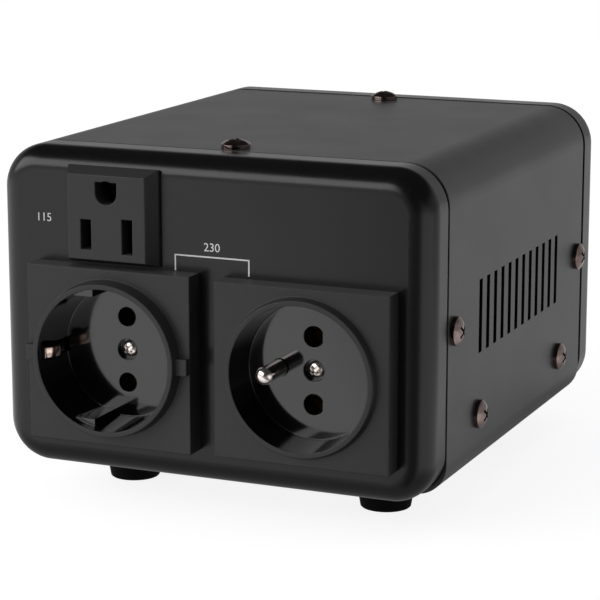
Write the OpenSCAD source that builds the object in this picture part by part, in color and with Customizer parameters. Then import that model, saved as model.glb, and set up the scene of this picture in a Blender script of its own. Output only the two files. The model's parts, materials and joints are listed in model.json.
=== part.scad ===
// Mains voltage converter: a transformer in a sheet-metal sleeve between two
// moulded caps, with three output sockets in front and the mains fittings behind.
// X runs to the right, the front faces -Y, Z is up, and the origin is on the
// ground under the middle of the box.

/* [Case] */
// Outer width of the two caps
case_w = 130; // [128:1:150]
// Outer height of the two caps, without the feet
case_h = 92; // [92:1:110]
// Distance from the front panel's face to the rear panel's face
case_d = 152; // [150:1:200]
// Height of the caps' lower edge above the ground
ground_gap = 10.5; // [8:0.5:20]
// Corner radius of a cap, seen from the front
cap_r = 12.5; // [9:0.5:14]
// Radius of the rolled edge round a panel
edge_r = 6.5; // [3:0.5:7]
// Length of a cap that shows outside the sleeve
cap_d = 12.5; // [11:0.5:14]
// Thickness of a panel
panel_t = 3; // [2.5:0.25:4]
// Wall of a cap behind its rolled edge
cap_wall = 2.4; // [2:0.1:3]
// Thickness of the shelf between a cap and its lip
shelf_t = 3; // [2:0.5:4]
// How far a cap's lip runs into the sleeve
lip_d = 14; // [12:0.5:16]
// Wall of a lip
lip_t = 2.5; // [2:0.1:3.5]
// Clearance between a lip and the sleeve
lip_gap = 0.25; // [0.15:0.05:0.5]

/* [Sleeve and base] */
// Thickness of the sleeve's and the base's sheet
sheet_t = 1.2; // [0.8:0.1:1.5]
// How far the sleeve lies inside the caps' outline
sleeve_inset = 0.1; // [0.1:0.1:1]
// Outer radius of the sleeve's upper corners
sleeve_r = 12; // [11:0.5:14]
// Outer radius of the sleeve's lower corners
sleeve_low_r = 9; // [7:0.5:11]
// Gap between the sleeve's end and a cap
sleeve_gap = 1.6; // [0.6:0.1:2]
// Width of the sleeve's opening underneath
sleeve_mouth = 99; // [98:0.5:102]
// Clearance between the sleeve and the base inside it
base_gap = 0.1; // [0.05:0.05:0.3]
// Height of the base's side walls
base_wall = 22; // [20:1:30]
// Gap between the base's ends and the caps' lips
base_end_gap = 0.5; // [0.3:0.1:2]
// Number of vent slots in each side
vent_n = 12; // [4:1:12]
// Distance between vent slots
vent_pitch = 6.4; // [5:0.05:7]
// Width of a vent slot
vent_w = 2.7; // [1.5:0.1:3]
// Length of a vent slot
vent_h = 21; // [12:0.5:30]
// Height of the vent slots' middle above the caps' lower edge
vent_up = 45.5; // [40:0.1:54]
// Number of vent slots in the base
floor_vent_n = 7; // [3:1:9]
// Length of a vent slot in the base
floor_vent_len = 22; // [14:1:26]

/* [Case screws] */
// Diameter of a case screw's thread
screw_d = 4; // [3:0.5:4]
// Diameter of a case screw's dome head
screw_head_d = 8.2; // [7.4:0.1:8.8]
// Height of the dome head
screw_head_h = 2.7; // [2.2:0.1:3.2]
// Straight rim of the dome head
screw_rim_h = 1.2; // [0.6:0.1:1.4]
// Length of a case screw's thread
screw_len = 7.5; // [6.5:0.5:8]
// Length of each arm pair of the cross recess
recess_len = 4.4; // [3:0.1:5]
// Width of a cross recess arm
recess_w = 0.9; // [0.6:0.1:1.2]
// Depth of the cross recess
recess_h = 1.3; // [0.8:0.1:1.6]
// Clearance round a thread in its hole
screw_gap = 0.05; // [0.03:0.01:0.1]
// Clearance round a thread in the sleeve
sleeve_hole_gap = 0.25; // [0.1:0.05:0.4]
// Length of a thread beyond its nut
thread_end = 1; // [0.5:0.1:1.5]
// Diameter of the bosses inside the caps' lips
boss_d = 9; // [8:0.5:11]
// Length of the bosses inside the caps' lips
boss_len = 4; // [3.5:0.5:4.5]
// Distance of the cap screws from the caps
cap_screw_in = 6.6; // [6:0.2:9]
// Height of the side cap screws above the caps' lower edge
side_screw_up = 45.7; // [40:0.1:52]
// Height of the base screws above the caps' lower edge
base_screw_up = 17.4; // [16:0.1:18]
// Distance between the front and the rear base screw
base_screw_span = 75; // [60:1:80]
// Distance of the base screws' middle behind the case's middle
base_screw_back = 1.5; // [0:0.1:3]
// Clearance kept round nuts and bosses
room = 0.4; // [0.3:0.1:0.6]
// Width across the flats of the large nuts
nut_w = 7; // [6.5:0.1:8]
// Thickness of the large nuts
nut_t = 3.2; // [2.4:0.1:3.5]

/* [Feet] */
// Diameter of a foot where it meets the base
foot_d = 18.6; // [15.5:0.1:20]
// Diameter of a foot near the ground
foot_low_d = 14.5; // [12:0.1:15.5]
// Height of the rounded lower edge of a foot
foot_edge = 0.3; // [0.2:0.1:1.2]
// Distance between the left and right feet
foot_span_x = 80; // [60:1:82]
// Distance between the front and rear feet
foot_span_y = 86; // [80:1:92]
// Depth of the screw pocket in a foot
foot_pocket = 7; // [4:0.5:8]
// Diameter of the screw pocket in a foot
foot_pocket_d = 9.2; // [9:0.1:10]

/* [Blade socket] */
// Place of the blade socket's middle, to the right
blade_x = -28; // [-30:0.5:-26]
// Height of the blade socket's middle above the caps' lower edge
blade_z = 74.1; // [73.9:0.1:75]
// Width of the blade socket at the panel
blade_w = 27.8; // [26:0.1:29]
// Height of the blade socket at the panel
blade_h = 27; // [26:0.1:27.4]
// Width and height of the blade socket's flat face
blade_face = 23.7; // [23.3:0.1:25]
// Straight edge of the blade socket at the panel
blade_rim = 1; // [0.6:0.1:1.5]
// How far the blade socket stands out of the panel
blade_out = 5.5; // [4:0.1:6.5]
// Width and height of the blade socket's body behind the panel
blade_body = 25; // [24:0.1:25.4]
// Depth of the blade socket's body behind the panel
blade_body_d = 20; // [18:0.5:22]
// Distance between the two blade slots
blade_span = 12.7; // [12.5:0.1:12.9]
// Width of a blade slot
slot_w = 3.3; // [2.6:0.1:3.4]
// Length of the live slot
slot_live = 8.5; // [7.5:0.1:9]
// Length of the neutral slot
slot_neutral = 9.8; // [8.8:0.1:10.2]
// Distance of the slots' middle below the socket's middle
slot_down = 4.9; // [4.7:0.1:5.1]
// Distance from the slots' middle up to the earth hole's middle
earth_up = 11.9; // [11.7:0.1:12]
// Diameter of the earth hole's round end
earth_d = 6.6; // [6.2:0.1:6.8]
// Height of the earth hole's straight end above its middle
earth_flat = 3; // [2.6:0.1:3.2]
// Width of the cavity behind a blade slot
cell_w = 5.4; // [5:0.1:5.6]
// Length of the cavity behind a blade slot
cell_h = 11.2; // [10.8:0.1:11.6]
// Diameter of the cavity behind the earth hole
cell_d = 8.4; // [8:0.1:8.6]
// Thickness of the blade socket's face in front of the cavities
face_t = 4.5; // [3.5:0.1:5]

/* [Round sockets] */
// Width and height of the side-earth socket's plate
side_plate = 50; // [47:0.5:51]
// Width of the earth-pin socket's plate
pin_plate_w = 51; // [47:0.5:52]
// Height of the earth-pin socket's plate
pin_plate_h = 49; // [47:0.5:50.5]
// How far a plate stands out of the panel
plate_out = 6.5; // [5:0.1:8]
// Place of the side-earth socket's middle, to the right
side_x = -27.5; // [-28.4:0.1:-27]
// Place of the earth-pin socket's middle, to the right
pin_x = 30.4; // [30:0.1:31.2]
// Height of the round sockets' middle above the caps' lower edge
round_z = 34.9; // [34:0.1:35.2]
// How far the side-earth collar stands out of its plate
side_collar = 4; // [3:0.1:6]
// How far the earth-pin collar stands out of its plate
pin_collar = 2.2; // [1.5:0.1:4]
// Radius of the collars at their front
collar_r = 21.6; // [21.5:0.1:21.7]
// How much wider a collar is at its plate
collar_flare = 0.7; // [0.3:0.1:1.2]
// Radius of a well at its mouth
well_r = 20.2; // [19.8:0.1:20.3]
// How much narrower a well is at its floor
well_draft = 0.9; // [0.5:0.1:1.2]
// Depth of the side-earth well from its rim
side_depth = 15.5; // [15:0.5:17.5]
// Depth of the earth-pin well from its rim
pin_depth = 11.5; // [11:0.5:15]
// Thickness of a well's floor
floor_t = 3; // [2.5:0.1:4]
// Distance between the two pin holes of a round socket
hole_span = 19; // [18.8:0.1:19.2]
// Diameter of the side-earth socket's pin holes
hole_d = 5.5; // [5.2:0.1:5.8]
// Diameter of the earth-pin socket's pin holes
hole_d_pin = 5.9; // [5.6:0.1:6]
// Distance from the middle of those holes to their flat side
hole_flat = 2.55; // [2.5:0.05:2.7]
// Clearance between a well and the panel's hole
cup_gap = 0.3; // [0.2:0.05:0.5]
// Radius of the back housings
back_r = 24.4; // [24:0.1:24.8]
// Depth of the back housings behind the wells
back_d = 14; // [13:0.5:16]
// Rear wall of the back housings
back_wall = 3; // [2:0.5:4]
// Diameter of the centre screw's pocket
pocket_d = 6.1; // [5.8:0.1:6.5]
// Depth of the centre screw's pocket
pocket_h = 1.9; // [1.5:0.1:2]
// Diameter of the centre screw's head
centre_head_d = 4.9; // [4.4:0.1:5.4]
// Height of the centre screw's head
centre_head_h = 1.5; // [1.2:0.1:1.8]
// Diameter of the centre screw's thread
centre_d = 3; // [2.5:0.1:3]
// Length of the centre screw's thread
centre_len = 10; // [8:0.5:11]

/* [Ribs and tabs] */
// Width of a guide rib in the side-earth well
rib_w = 7; // [5:0.2:8]
// Distance of a guide rib's middle from the well's middle
rib_off = 7.2; // [5:0.1:7.5]
// Distance of a guide rib's top from the well's middle
rib_in = 17.4; // [16.6:0.1:17.8]
// Distance of a guide rib's front end below the rim
rib_down = 2.3; // [1:0.1:4]
// Width of the tabs beside the side-earth collar
tab_w = 4.6; // [3.5:0.1:6]
// How far a tab stands out of its plate
tab_out = 2; // [1:0.1:2.8]

/* [Contacts] */
// Thickness of the contact sheet
leaf_t = 0.6; // [0.5:0.05:0.8]
// Gap between a blade contact's leaves
leaf_gap = 1.6; // [1.5:0.05:1.8]
// Width of a blade contact's leaves
leaf_w = 6; // [5:0.2:7]
// Thickness of a contact's foot
contact_foot = 1; // [0.8:0.1:1.5]
// Distance of a blade contact below the cavity's front
contact_down = 5; // [4:0.1:6]
// Outer diameter of a tulip contact
tulip_d = 6.8; // [6.4:0.1:7]
// Inner diameter of a tulip contact
tulip_bore = 4.9; // [4.8:0.1:5.2]
// Distance of a tulip contact's mouth behind the floor
tulip_down = 4.5; // [3:0.1:5]
// Clearance round a tulip contact in its cavity
tulip_gap = 0.3; // [0.2:0.05:0.5]
// Width of the slits in a tulip contact
slit_w = 0.8; // [0.5:0.1:1]
// Height of the slits' end above the tulip's foot
slit_up = 3; // [2:0.1:4]
// Diameter of a contact's tail
tail_d = 2.4; // [2:0.1:2.6]
// Length of a contact's tail behind its housing
tail_len = 4; // [3:0.5:6]
// Clearance round a tail
tail_gap = 0.3; // [0.2:0.05:0.5]
// Diameter of the earth pin
earth_pin_d = 4.8; // [4.7:0.05:4.8]
// Distance of the earth pin from its socket's middle
earth_pin_off = 10; // [9.9:0.1:10.1]
// Length of the earth pin above the well's floor
earth_pin_len = 12.2; // [11:0.1:15]
// Depth of the groove round the earth pin's root
neck_in = 0.2; // [0.1:0.05:0.3]
// Width of that groove
neck_h = 0.5; // [0.3:0.1:0.8]
// Diameter of the earth pin's flange
earth_flange_d = 7.4; // [6.5:0.1:7.6]
// Thickness of the earth pin's flange
earth_flange_t = 2; // [1.5:0.1:3]
// Clearance round the earth pin
earth_pin_gap = 0.05; // [0.03:0.01:0.1]
// Width of an earth clip
clip_w = 3.2; // [2.6:0.1:3.6]
// Thickness of an earth clip
clip_t = 0.7; // [0.5:0.05:0.8]
// Distance of an earth clip's tail from the well's middle
clip_r = 18.9; // [18.7:0.1:19]
// How far an earth clip bulges into the well
clip_bulge = 1.7; // [1:0.1:2]
// Travel of an earth clip as a plug pushes it outward
clip_travel = 0.8; // [0.5:0.1:0.9]
// Clearance round an earth clip
clip_gap = 0.35; // [0.25:0.05:0.4]
// Distance of a clip slot's end below the rim
clip_slot_down = 1.3; // [1:0.1:2]

/* [Rear fittings] */
// Place of the inlet and the fuse, to the right as seen from behind
inlet_x = -27; // [-29:0.5:-26]
// Height of the inlet's middle above the caps' lower edge
inlet_z = 35; // [33:0.5:38]
// Width of the inlet's flange
inlet_w = 50; // [48:0.5:52]
// Height of the inlet's flange
inlet_h = 24; // [23:0.5:28]
// Thickness of the inlet's flange
inlet_flange = 2.5; // [2:0.1:3]
// Width of the inlet's body
inlet_body_w = 28; // [27.5:0.1:29]
// Height of the inlet's body
inlet_body_h = 20; // [19.6:0.1:21]
// Depth of the inlet's body behind the panel
inlet_body_d = 20; // [18:0.5:22]
// Width of the inlet's cavity
inlet_cave_w = 24.4; // [24.2:0.1:24.8]
// Height of the inlet's cavity
inlet_cave_h = 16.2; // [16:0.1:16.6]
// Depth of the inlet's cavity
inlet_cave_d = 16.5; // [16:0.1:17]
// Cut corners of the inlet's cavity
inlet_cut = 4.5; // [4:0.1:5]
// Distance between the inlet's outer blades
inlet_span = 14; // [13.8:0.1:14.2]
// Distance of the blades from the inlet's middle, up and down
inlet_offset = 2; // [1.8:0.1:2.2]
// Thickness of an inlet blade
inlet_pin_t = 2; // [1.9:0.1:2.1]
// Height of an inlet blade
inlet_pin_h = 4; // [3.8:0.1:4.2]
// Distance of the blade tips below the flange's face
inlet_pin_down = 2; // [1:0.1:4]
// Distance between the inlet's screws
inlet_screw_span = 40; // [39:0.5:41]
// Place of the switch and the selector, to the right as seen from behind
switch_x = 27; // [25:0.5:29]
// Height of the switch's middle above the caps' lower edge
switch_z = 37; // [33:0.5:38]
// Width of the switch's frame
switch_w = 22; // [21.5:0.1:24]
// Height of the switch's frame
switch_h = 30; // [29.5:0.1:32]
// Thickness of the switch's frame
switch_flange = 1.8; // [1.4:0.1:2.4]
// Width of the switch's body
switch_body_w = 19.6; // [19.4:0.1:20.4]
// Height of the switch's body
switch_body_h = 28; // [27.8:0.1:28.6]
// Depth of the switch's body behind the panel
switch_body_d = 20; // [17:0.5:22]
// Thickness of the switch body's floor
switch_floor = 6; // [4:0.5:7]
// Width of the rocker
rocker_w = 16.2; // [15:0.1:16.4]
// Radius of the rocker's swept ends
rocker_r = 12.5; // [11.5:0.1:12.6]
// How much higher the rocker's ends are than its middle
rocker_rise = 2.3; // [1.5:0.1:3]
// Depth of the rocker below its pivot
rocker_low = 6; // [4:0.1:7]
// Clearance round the rocker
rocker_gap = 0.35; // [0.3:0.05:0.5]
// Tilt of the rocker to each side
rocker_tilt = 10; // [6:0.5:11]
// Depth of the rocker's pivot behind the panel's face
pivot_down = 1.5; // [1:0.1:2.5]
// Diameter of the rocker's pivots
pivot_d = 2.4; // [2:0.1:2.8]
// Clearance round the rocker's pivots
pivot_gap = 0.3; // [0.2:0.05:0.4]
// Distance of the switch's terminals from its middle
switch_tab_off = 7; // [6:0.5:8]
// Length of the switch's terminals behind its body
switch_tab_len = 8; // [6:0.5:9]
// Width of the switch's terminals
switch_tab_w = 6.3; // [4.8:0.1:6.3]
// Thickness of the terminals
tab_t = 0.8; // [0.5:0.1:1]
// Height of the selector's and the fuse's middle above the caps' lower edge
upper_z = 72; // [70:0.5:74]
// Width of the selector's face plate
sel_w = 38; // [37:0.5:40]
// Height of the selector's face plate
sel_h = 16; // [15:0.5:18]
// Thickness of the selector's face plate
sel_t = 1; // [0.8:0.1:1.5]
// Width of the selector's body
sel_body_w = 24; // [23:0.1:24.6]
// Height of the selector's body
sel_body_h = 13; // [12:0.1:13.4]
// Depth of the selector's body
sel_body_d = 12; // [10:0.5:15]
// Wall at the ends of the selector's body
sel_wall = 2; // [1.5:0.1:2.2]
// Wall above and below the selector's slider
sel_rail = 1.8; // [1.4:0.1:2]
// Thickness of the selector's slider
sel_slide_t = 2.4; // [2:0.1:3]
// Width of the selector's knob
knob_w = 4.8; // [4:0.1:5.4]
// Height of the selector's knob
knob_h = 5.6; // [5:0.1:6.4]
// How far the knob stands out of the face plate
knob_out = 1.6; // [0.8:0.1:2.5]
// Width and depth of the knob's grooves
groove_w = 0.5; // [0.3:0.1:0.6]
// Distance between the knob's grooves
groove_pitch = 1.4; // [1.2:0.1:1.5]
// Travel of the selector
sel_travel = 5; // [4:0.1:5.2]
// Clearance round the selector's slider
sel_gap = 0.3; // [0.2:0.05:0.4]
// Play of the knob in its window at each end
window_gap = 1; // [0.5:0.1:1.2]
// Distance between the selector's terminals
sel_tab_off = 6; // [5:0.5:7]
// Length of the selector's terminals behind its body
sel_tab_len = 6; // [4:0.5:8]
// Width of the selector's terminals
sel_tab_w = 4; // [3:0.1:5]
// Distance between the selector's screws
sel_screw_span = 31.4; // [31:0.1:32]
// Diameter of the small screws' thread
small_d = 3; // [2.5:0.1:3]
// Diameter of the small screws' head
small_head_d = 5.6; // [5:0.1:5.8]
// Height of the small screws' head
small_head_h = 1.8; // [1.5:0.1:2.2]
// Straight rim of the small screws' head
small_rim_h = 0.5; // [0.3:0.1:0.7]
// Length of the small screws' thread
small_len = 9; // [8.5:0.5:11]
// Width across the flats of the small nuts
small_nut_w = 5.5; // [5:0.1:6]
// Thickness of the small nuts
small_nut_t = 2.4; // [1.8:0.1:2.6]
// Clearance round a fitting in the panel
fit_gap = 0.2; // [0.1:0.05:0.3]

/* [Fuse] */
// Diameter of the fuse holder's flange
fuse_flange_d = 17; // [16:0.5:18]
// Thickness of the fuse holder's flange
fuse_flange_t = 2.5; // [2:0.1:3]
// Diameter of the fuse holder's body
fuse_body_d = 12.4; // [12:0.1:13]
// Depth of the fuse holder's body behind the panel
fuse_body_len = 32; // [31:0.5:34]
// Diameter of the fuse holder's bore
fuse_bore = 9.2; // [9:0.1:9.4]
// Rear wall of the fuse holder
fuse_end = 2.5; // [2:0.1:3]
// Distance of the carrier from that wall
carrier_end_gap = 0.5; // [0.3:0.1:1]
// Clearance of the carrier in that bore
carrier_gap = 0.3; // [0.25:0.05:0.4]
// Diameter of the bore that holds the fuse
fuse_seat = 5.5; // [5.4:0.1:5.7]
// Diameter of the fuse's end caps
fuse_d = 5.2; // [5:0.1:5.3]
// Length of the fuse
fuse_len = 20; // [19:0.5:21]
// Length of a fuse end cap
fuse_cap_len = 5; // [4:0.5:6]
// Diameter of the fuse's glass
fuse_glass_d = 4.8; // [4.6:0.1:4.9]
// Wall of the carrier in front of the fuse
carrier_nose = 6; // [5.5:0.5:8]
// Diameter of the fuse cap
fuse_knob_d = 13.2; // [12:0.1:14]
// Length of the fuse cap
fuse_knob_len = 7.9; // [6:0.1:10]
// Gap between the fuse cap and the holder's flange
fuse_knob_gap = 0.1; // [0.05:0.05:0.4]
// Diameter of the fuse cap's stem
stem_d = 3.6; // [3:0.1:4]
// Length of the fuse cap's stem
stem_len = 4; // [3:0.5:5]
// Clearance round the stem
stem_gap = 0.3; // [0.2:0.05:0.4]
// Number of grip flutes round the fuse cap
flute_n = 12; // [6:1:16]
// Diameter of a grip flute
flute_d = 1.6; // [1:0.1:2]
// Depth of a grip flute
flute_in = 0.5; // [0.3:0.1:0.7]
// Distance of the flutes from the cap's rear face
flute_up = 1.5; // [1:0.1:2.5]
// Length of the driver slot in the fuse cap
driver_len = 9.2; // [7:0.1:10]
// Width and depth of that slot
driver_w = 1.2; // [0.8:0.1:1.6]
// Length of the fuse holder's side lug
fuse_lug = 4; // [3:0.5:6]
// Thickness of the fuse holder's side lug
fuse_lug_t = 0.8; // [0.6:0.1:1.2]
// Width of the fuse holder's side lug
fuse_lug_w = 4; // [3:0.1:5]
// Distance of the side lug from the holder's rear end
fuse_lug_up = 6; // [4:0.5:8]
// Thickness of the fuse holder's nut
fuse_nut_t = 4; // [3:0.5:5]
// Width across the flats of the fuse holder's nut
fuse_nut_w = 17; // [15.5:0.5:19]

/* [Transformer] */
// Width of the laminated core
core_w = 84; // [80:1:90]
// Height of the laminated core
core_h = 70; // [66:1:72]
// Thickness of the stack
core_stack = 44; // [36:1:46]
// Width of the core's outer limbs and yokes
core_limb = 14; // [12:0.5:14]
// Wall of the bobbin
bobbin_t = 1.4; // [1:0.1:1.8]
// Clearance round the bobbin
bobbin_gap = 0.2; // [0.15:0.05:0.3]
// Thickness of each winding
winding_t = 5.2; // [4:0.1:5.2]
// Clearance between the windings
winding_gap = 0.2; // [0.15:0.05:0.3]
// Diameter of the core bolts
core_bolt_d = 4; // [3.5:0.1:4.5]
// Thickness of the brackets
bracket_t = 2; // [1.5:0.1:2.5]
// Length of the brackets' feet
bracket_foot = 13; // [11:0.5:14]
// Height of the brackets
bracket_h = 13; // [12:0.5:14]
// Distance between a bracket's screws
bracket_span = 48; // [40:1:52]
// Diameter of the wires
wire_d = 2.2; // [1.6:0.1:2.4]
// Distance of a wire's first bend from what it leaves
wire_step = 5; // [4.5:0.1:5.5]
// Length of the earth stud above the base
stud_len = 8; // [6:0.5:12]
// Height of the earth stud's head
stud_head_h = 2; // [1.5:0.1:3]
// Distance of the earth stud from the rear panel's face
stud_in = 36; // [35:0.5:37]

/* [Hidden] */
$fn = 64;
cut = 0.1;
sink = 0.5;
front_out = plate_out + side_collar;
rear_out = fuse_flange_t + fuse_knob_gap + fuse_knob_len;
front_y = -(case_d + front_out + rear_out) / 2 + front_out;
rear_y = front_y + case_d;
mid_y = front_y + case_d / 2;
low_z = ground_gap;
cap_mid_z = low_z + case_h / 2;
lip_in = sleeve_inset + sheet_t + lip_gap;
lip_r = sleeve_r - sheet_t - lip_gap;
base_in = sleeve_inset + sheet_t + base_gap;
base_z = low_z + base_in;
base_top = base_z + sheet_t;
base_len = case_d - 2 * (cap_d + lip_d + base_end_gap);
sleeve_len = case_d - 2 * (cap_d + sleeve_gap);
sleeve_x = case_w / 2 - sleeve_inset;
sleeve_top = low_z + case_h - sleeve_inset;
cap_screw_y = case_d / 2 - cap_d - cap_screw_in;
vent_z = low_z + vent_up;
side_screw_z = low_z + side_screw_up;
base_screw_z = low_z + base_screw_up;
bend_r = sleeve_low_r - 2 * sheet_t - base_gap;
nut_drop = max(0, base_in + sheet_t + bend_r - base_screw_up + nut_w / 2);
nut_seat = screw_gap + bend_r - sqrt(bend_r * bend_r - nut_drop * nut_drop);
nut_x = case_w / 2 - base_in - sheet_t - nut_seat;
base_mid_y = mid_y + base_screw_back;
shank_r = screw_d / 2;
hole_r = shank_r + screw_gap;
side_floor = plate_out + side_collar - side_depth;
pin_floor = plate_out + pin_collar - pin_depth;
side_z = low_z + round_z;
panel_hole_r = collar_r + cup_gap;
tulip_cell = tulip_d / 2 + tulip_gap;
clip_max = clip_r + clip_t + clip_travel + clip_gap;
clip_y = clip_w / 2 + clip_gap;
rocker_cave_w = rocker_w + 2 * rocker_gap;
rocker_cave_h = 2 * (rocker_r + rocker_gap);
pivot_len = switch_body_w - 2 * rocker_gap;
sel_cave_h = sel_body_h - 2 * sel_rail;
sel_slide_w = sel_body_w - 2 * sel_wall - 2 * sel_gap - sel_travel;
sel_cave_d = sel_slide_t + 2 * sel_gap;
sel_window_w = knob_w + sel_travel + 2 * window_gap;
sel_window_h = knob_h + 2 * sel_gap;
carrier_r = fuse_bore / 2 - carrier_gap;
carrier_len = fuse_flange_t + fuse_body_len - fuse_end - carrier_end_gap;
fuse_front = fuse_flange_t - carrier_nose;
core_leg = core_w - 4 * core_limb;
core_window_h = core_h - 2 * core_limb;
bobbin_h = core_window_h - 2 * bobbin_gap;
bobbin_x = core_leg / 2 + bobbin_gap;
bobbin_y = core_stack / 2 + bobbin_gap;
wind_1 = bobbin_t + winding_gap;
wind_2 = wind_1 + winding_t + winding_gap;
wind_out = wind_2 + winding_t;
wind_face_y = bobbin_y + wind_out;
wind_h = bobbin_h - 2 * bobbin_t - 2 * winding_gap;
wind_z = base_top + core_h / 2;
bolt_x = core_w / 2 - core_limb / 2;
bolt_z = core_h / 2 - core_limb / 2;
tail_z = -floor_t - back_d - tail_len;
bead = 1.5;

// Panel frames: x to the right and y up as seen from outside, z out of the panel
module at_front() {
  translate([0, front_y, 0])
    rotate([90, 0, 0])
      children();
}

module at_rear() {
  translate([0, rear_y, 0])
    rotate([90, 0, 180])
      children();
}

// Outline with four round corners, made of pieces that meet edge to edge
module round_rect(w, h, r) {
  square([w - 2 * r, h], center = true);
  for (s = [-1, 1])
    translate([s * (w / 2 - r / 2), 0])
      square([r, h - 2 * r], center = true);
  for (sx = [-1, 1], sy = [-1, 1])
    translate([sx * (w / 2 - r), sy * (h / 2 - r)])
      intersection() {
        circle(r);
        translate([sx > 0 ? 0 : -r, sy > 0 ? 0 : -r])
          square(r);
      }
}

module round_block(w, h, r, z0, z1) {
  translate([0, 0, z0])
    linear_extrude(z1 - z0)
      round_rect(w, h, r);
}

module block(w, h, z0, z1) {
  translate([-w / 2, -h / 2, z0])
    cube([w, h, z1 - z0]);
}

// Section across a cap's border: straight at the back, rolled at the front
module border(r, d, e) {
  translate([0, -d])
    square([r, d - e]);
  translate([0, -e])
    square([r - e, e]);
  translate([r - e, -e])
    intersection() {
      circle(e);
      square(e);
    }
}

// Block with round corners whose front edge is rolled all round
module rolled_block(w, h, r, d, e) {
  translate([-(w / 2 - r), -(h / 2 - r), -d])
    cube([w - 2 * r, h - 2 * r, d]);
  for (s = [0, 1])
    rotate([0, 0, 180 * s]) {
      translate([w / 2 - r, h / 2 - r, 0])
        rotate([90, 0, 0])
          linear_extrude(h - 2 * r)
            border(r, d, e);
      translate([-(w / 2 - r), h / 2 - r, 0])
        rotate([90, 0, 90])
          linear_extrude(w - 2 * r)
            border(r, d, e);
      translate([w / 2 - r, h / 2 - r, 0])
        rotate_extrude(angle = 90)
          border(r, d, e);
      translate([-(w / 2 - r), h / 2 - r, 0])
        rotate([0, 0, 90])
          rotate_extrude(angle = 90)
            border(r, d, e);
    }
}

// Cap common to front and rear, in a panel frame
module cap_body() {
  difference() {
    union() {
      translate([0, cap_mid_z, 0])
        difference() {
          rolled_block(case_w, case_h, cap_r, cap_d, edge_r);
          round_block(case_w - 2 * cap_wall, case_h - 2 * cap_wall, cap_r - cap_wall,
            -cap_d + shelf_t, -panel_t);
          lip_bore(-cap_d - cut, -cap_d + shelf_t + cut);
        }
      translate([0, cap_mid_z, 0])
        difference() {
          round_block(case_w - 2 * lip_in, case_h - 2 * lip_in, lip_r, -cap_d - lip_d, -cap_d + cut);
          lip_bore(-cap_d - lip_d - cut, -cap_d + 2 * cut);
        }
      for (s = [-1, 1])
        translate([s * (case_w / 2 - lip_in - lip_t / 2), side_screw_z, -cap_d - cap_screw_in])
          rotate([0, -90 * s, 0])
            cylinder(d = boss_d, h = boss_len + lip_t / 2);
      translate([0, low_z + case_h - lip_in - lip_t / 2, -cap_d - cap_screw_in])
        rotate([90, 0, 0])
          cylinder(d = boss_d, h = boss_len + lip_t / 2);
    }
    for (s = [-1, 1])
      translate([s * (case_w / 2), side_screw_z, -cap_d - cap_screw_in])
        rotate([0, -90 * s, 0])
          cylinder(r = hole_r, h = lip_in + lip_t + boss_len + cut);
    translate([0, low_z + case_h, -cap_d - cap_screw_in])
      rotate([90, 0, 0])
        cylinder(r = hole_r, h = lip_in + lip_t + boss_len + cut);
  }
}

module lip_bore(z0, z1) {
  inner = lip_in + lip_t;
  round_block(case_w - 2 * inner, case_h - 2 * inner, lip_r - lip_t, z0, z1);
}

// Room for the feet's screws and nuts
module foot_room() {
  foot_places()
    translate([0, 0, base_z])
      cylinder(d = nut_w / cos(30) + 2 * room, h = sheet_t + nut_t + thread_end + room);
}

module front_cap() {
  color([0.16, 0.16, 0.16])
    difference() {
      at_front()
        cap_body();
      at_blade()
        block(blade_body + 2 * fit_gap, blade_body + 2 * fit_gap, -panel_t - cut, cut);
      at_side()
        panel_hole();
      at_pin()
        panel_hole();
      foot_room();
    }
}

module panel_hole() {
  translate([0, 0, -panel_t - cut])
    cylinder(r = panel_hole_r, h = panel_t + 2 * cut);
}

module rear_cap() {
  color([0.16, 0.16, 0.16])
    difference() {
      at_rear()
        difference() {
          cap_body();
          translate([inlet_x, low_z + inlet_z, 0])
            block(inlet_body_w + 2 * fit_gap, inlet_body_h + 2 * fit_gap, -panel_t - cut, cut);
          translate([switch_x, low_z + switch_z, 0])
            block(switch_body_w + 2 * fit_gap, switch_body_h + 2 * fit_gap, -panel_t - cut, cut);
          translate([switch_x, low_z + upper_z, 0])
            block(sel_body_w + 2 * fit_gap, sel_body_h + 2 * fit_gap, -panel_t - cut, cut);
          translate([inlet_x, low_z + upper_z, -panel_t - cut])
            cylinder(d = fuse_body_d + 2 * fit_gap, h = panel_t + 2 * cut);
          small_screw_places()
            translate([0, 0, -panel_t - cut])
              cylinder(d = small_d + 2 * screw_gap, h = panel_t + 2 * cut);
        }
      foot_room();
    }
}

// Sheet wrapped round the top, the sides and the lower corners
module sleeve() {
  color([0.36, 0.36, 0.36])
    difference() {
      translate([0, mid_y + sleeve_len / 2, cap_mid_z])
        rotate([90, 0, 0])
          linear_extrude(sleeve_len)
            difference() {
              wrap(sleeve_inset);
              wrap(sleeve_inset + sheet_t);
              translate([-sleeve_mouth / 2, -case_h / 2])
                square([sleeve_mouth, sleeve_inset + 2 * sheet_t]);
            }
      for (s = [-1, 1], i = [0 : vent_n - 1])
        translate([s * (sleeve_x - sheet_t / 2), mid_y + (i - (vent_n - 1) / 2) * vent_pitch, vent_z])
          cube([2 * sheet_t, vent_w, vent_h], center = true);
      side_screw_places()
        translate([0, 0, -2 * sheet_t])
          cylinder(r = shank_r + sleeve_hole_gap, h = 3 * sheet_t);
      top_screw_places()
        translate([0, 0, -2 * sheet_t])
          cylinder(r = shank_r + sleeve_hole_gap, h = 3 * sheet_t);
    }
}

// Outline of the sleeve, or a line inside it
module wrap(inset) {
  w = case_w - 2 * inset;
  h = case_h - 2 * inset;
  for (low = [0, 1])
    intersection() {
      round_rect(w, h, (low ? sleeve_low_r : sleeve_r) + sleeve_inset - inset);
      translate([-w / 2, -low * h / 2])
        square([w, h / 2]);
    }
}

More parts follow.
